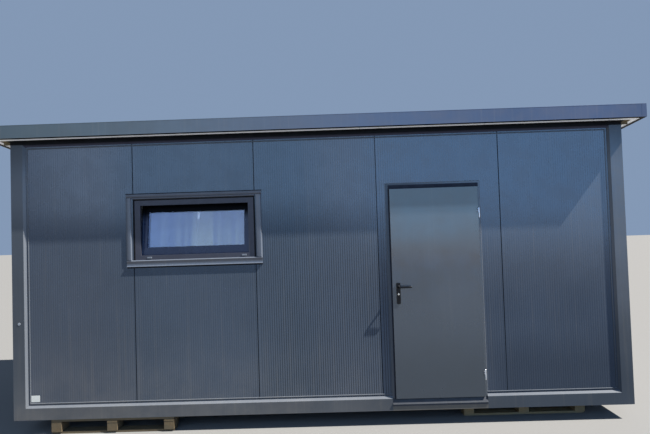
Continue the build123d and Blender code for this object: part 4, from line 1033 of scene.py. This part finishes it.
def sawn(build, lo, hi, along, steps, wear=1.6, rough=0.5):
    """a board in the box lo..hi (mm, z over the ground); never outside it"""
    ax = "xyz".index(along)
    c1, c2 = [k for k in range(3) if k != ax]
    seed = Vector((rnd.uniform(0, 9), rnd.uniform(0, 9), rnd.uniform(0, 9)))
    rings, grain = [], []
    n = steps
    ends = (rnd.uniform(0.0, 2.5), rnd.uniform(0.0, 2.5))
    wob = [rnd.uniform(0, 1) for _ in range((n + 1) * 8)]
    for i in range(n + 1):
        t = i / n
        pos = lo[ax] + ends[0] + (hi[ax] - lo[ax] - ends[0] - ends[1]) * t
        ring = []
        w = wear * (0.6 + 0.9 * wob[i * 8])
        inset = 0.25 * rough
        a0, a1 = lo[c1] + inset, hi[c1] - inset
        b0, b1 = lo[c2] + inset * 0.4, hi[c2] - inset * 0.4
        if i in (0, n):
            a0, a1, b0, b1 = a0 + 0.8, a1 - 0.8, b0 + 0.8, b1 - 0.8
        j = [wob[i * 8 + k] * rough for k in range(8)]
        pts = [(a0 + w, b0), (a1 - w, b0), (a1 - j[0], b0 + w), (a1 - j[1], b1 - w),
               (a1 - w, b1), (a0 + w, b1), (a0 + j[2], b1 - w), (a0 + j[3], b0 + w)]
        for a, bb in pts:
            p = [0, 0, 0]
            p[ax], p[c1], p[c2] = pos, a, bb
            ring.append((p[0], p[1], p[2]))
            grain.append(seed + Vector(((pos - lo[ax]) / 1000, (a - lo[c1]) / 1000, (bb - lo[c2]) / 1000)))
        rings.append(ring)
    m = len(rings)
    k = 8
    verts = [Vector((X(x), Y(y), z / 1000)) for r in rings for x, y, z in r]
    faces = []
    for i in range(m - 1):
        for q in range(k):
            r = (q + 1) % k
            faces.append([i * k + q, i * k + r, (i + 1) * k + r, (i + 1) * k + q])
    faces.append(list(range(k - 1, -1, -1)))
    faces.append([(m - 1) * k + q for q in range(k)])
    build.add(verts, faces, grain)


bottom, blocks, stringers, deck, nails = Build(), Build(), Build(), Build(), Build()
for px, py in PALLETS:
    for by in BLOCK_Y:
        w = 120 if by == 327.5 else 110
        cy = py + by + 72.5
        sawn(bottom, (px, cy - w / 2, 0), (px + 1200, cy + w / 2, 22), "x", 14)
        for bx in RUNNER_X:
            sawn(blocks, (px + bx, py + by, 22), (px + bx + 100, py + by + 145, 100), "y", 4, wear=2.2, rough=0.9)
            for dx, dy in ((28, 0), (72, 14)):
                nails.turned((X(px + bx + dx), Y(cy - 7 + dy), 0.0004), (0, 0, 1),
                             [(0, 0.0001), (0, 0.0036), (0.0022, 0.0036), (0.003, 0.0001)], sides=10)
    for bx in RUNNER_X:
        sawn(stringers, (px + bx, py, 100), (px + bx + 100, py + 800, 122), "y", 10)
    for by, bw in DECK:
        sawn(deck, (px, py + by, 122), (px + 1200, py + by + bw, 144), "x", 14)
        for bx in RUNNER_X:
            for dx, dy in ((26, 22), (74, bw - 24)):
                nails.turned((X(px + bx + dx), Y(py + by + dy), 0.1408), (0, 0, 1),
                             [(0, 0.0001), (0, 0.0036), (0.0026, 0.0036), (0.0031, 0.0001)], sides=10)
make("pallet_foot_boards", bottom, mat_wood, grain=True, swap=("pallet_bottom_boards",))
make("pallet_wood_blocks", blocks, mat_wood, grain=True, swap=("pallet_blocks",))
make("pallet_cross_boards", stringers, mat_wood, grain=True, swap=("pallet_stringer_boards",))
make("pallet_top_boards", deck, mat_wood, grain=True, swap=("pallet_deck_boards",))
make("pallet_nails", nails, mat_nail)

# ---------------------------------------------------------------------------
# floor, light, camera
# ---------------------------------------------------------------------------
scene = bpy.context.scene
me = bpy.data.meshes.new("studio_floor")
S = 60.0
me.from_pydata([(-S, -S, 0), (S, -S, 0), (S, S, 0), (-S, S, 0)], [], [[0, 1, 2, 3]])
floor = bpy.data.objects.new("studio_floor", me)
scene.collection.objects.link(floor)
fm = Mat("studio_floor_paint")
fm.color(fm.mix(fm.span(fm.noise(140.0, 3), 0.3, 0.7), (0.122, 0.122, 0.120), (0.128, 0.128, 0.126)))
fm.set(Roughness=0.8, Specular_IOR_Level=0.2)
me.materials.append(fm.m)

world = bpy.data.worlds.new("studio")
scene.world = world
world.use_nodes = True
bg = world.node_tree.nodes["Background"]
bg.inputs[0].default_value = (0.46, 0.63, 0.92, 1.0)
bg.inputs[1].default_value = 0.50

key = bpy.data.lights.new("key", "SUN")
key.energy = 17.0
key.angle = math.radians(0.6)
key.color = (1.0, 0.95, 0.88)
ko = bpy.data.objects.new("key", key)
scene.collection.objects.link(ko)
ko.rotation_mode = "QUATERNION"
ko.rotation_quaternion = Vector((-4.42, 1.0, -5.76)).to_track_quat("-Z", "Y")
ko.location = (8, -4, 9)

for name, x, z, high, power, tone in (("fill_left", -3.4, 4.4, 5.2, 222, (0.50, 0.69, 1.0)),
                                      ("fill_right", 5.2, 4.1, 5.6, 318, (0.225, 0.51, 1.0))):
    fill = bpy.data.lights.new(name, "AREA")
    fill.energy = power
    fill.shape = "RECTANGLE"
    fill.size, fill.size_y = 8.6, high
    fill.color = tone
    fo = bpy.data.objects.new(name, fill)
    scene.collection.objects.link(fo)
    fo.location = (x, -9.0, z)
    fo.rotation_mode = "QUATERNION"
    fo.rotation_quaternion = Vector((0, 7.8, -3.2)).to_track_quat("-Z", "Y")

# camera: solved from the cabin's edges, seams and door in the photograph
cam = bpy.data.cameras.new("camera")
cam.sensor_fit, cam.sensor_width = "HORIZONTAL", 36.0
cam.lens = 36.0 * 488.0 / 650.0
cam.clip_start, cam.clip_end = 0.05, 300.0
co = bpy.data.objects.new("camera", cam)
scene.collection.objects.link(co)
yaw, pitch, roll = (math.radians(a) for a in (0.73, 1.65, 1.82))
ex = Vector((math.cos(yaw), math.sin(yaw), 0))
ahead = Vector((-math.sin(yaw), math.cos(yaw), 0))
view = ahead * math.cos(pitch) + Vector((0, 0, math.sin(pitch)))
ez = Vector((0, 0, math.cos(pitch))) - ahead * math.sin(pitch)
right = ex * math.cos(roll) - ez * math.sin(roll)
upward = ex * math.sin(roll) + ez * math.cos(roll)
rot = Matrix((right, upward, -view)).transposed()
co.matrix_world = Matrix.Translation((0.151, -5.963, 1.895)) @ rot.to_4x4()
scene.camera = co

scene.view_settings.view_transform = "Standard"
scene.view_settings.look = "None"
scene.view_settings.exposure = 0.0
scene.view_settings.gamma = 1.0
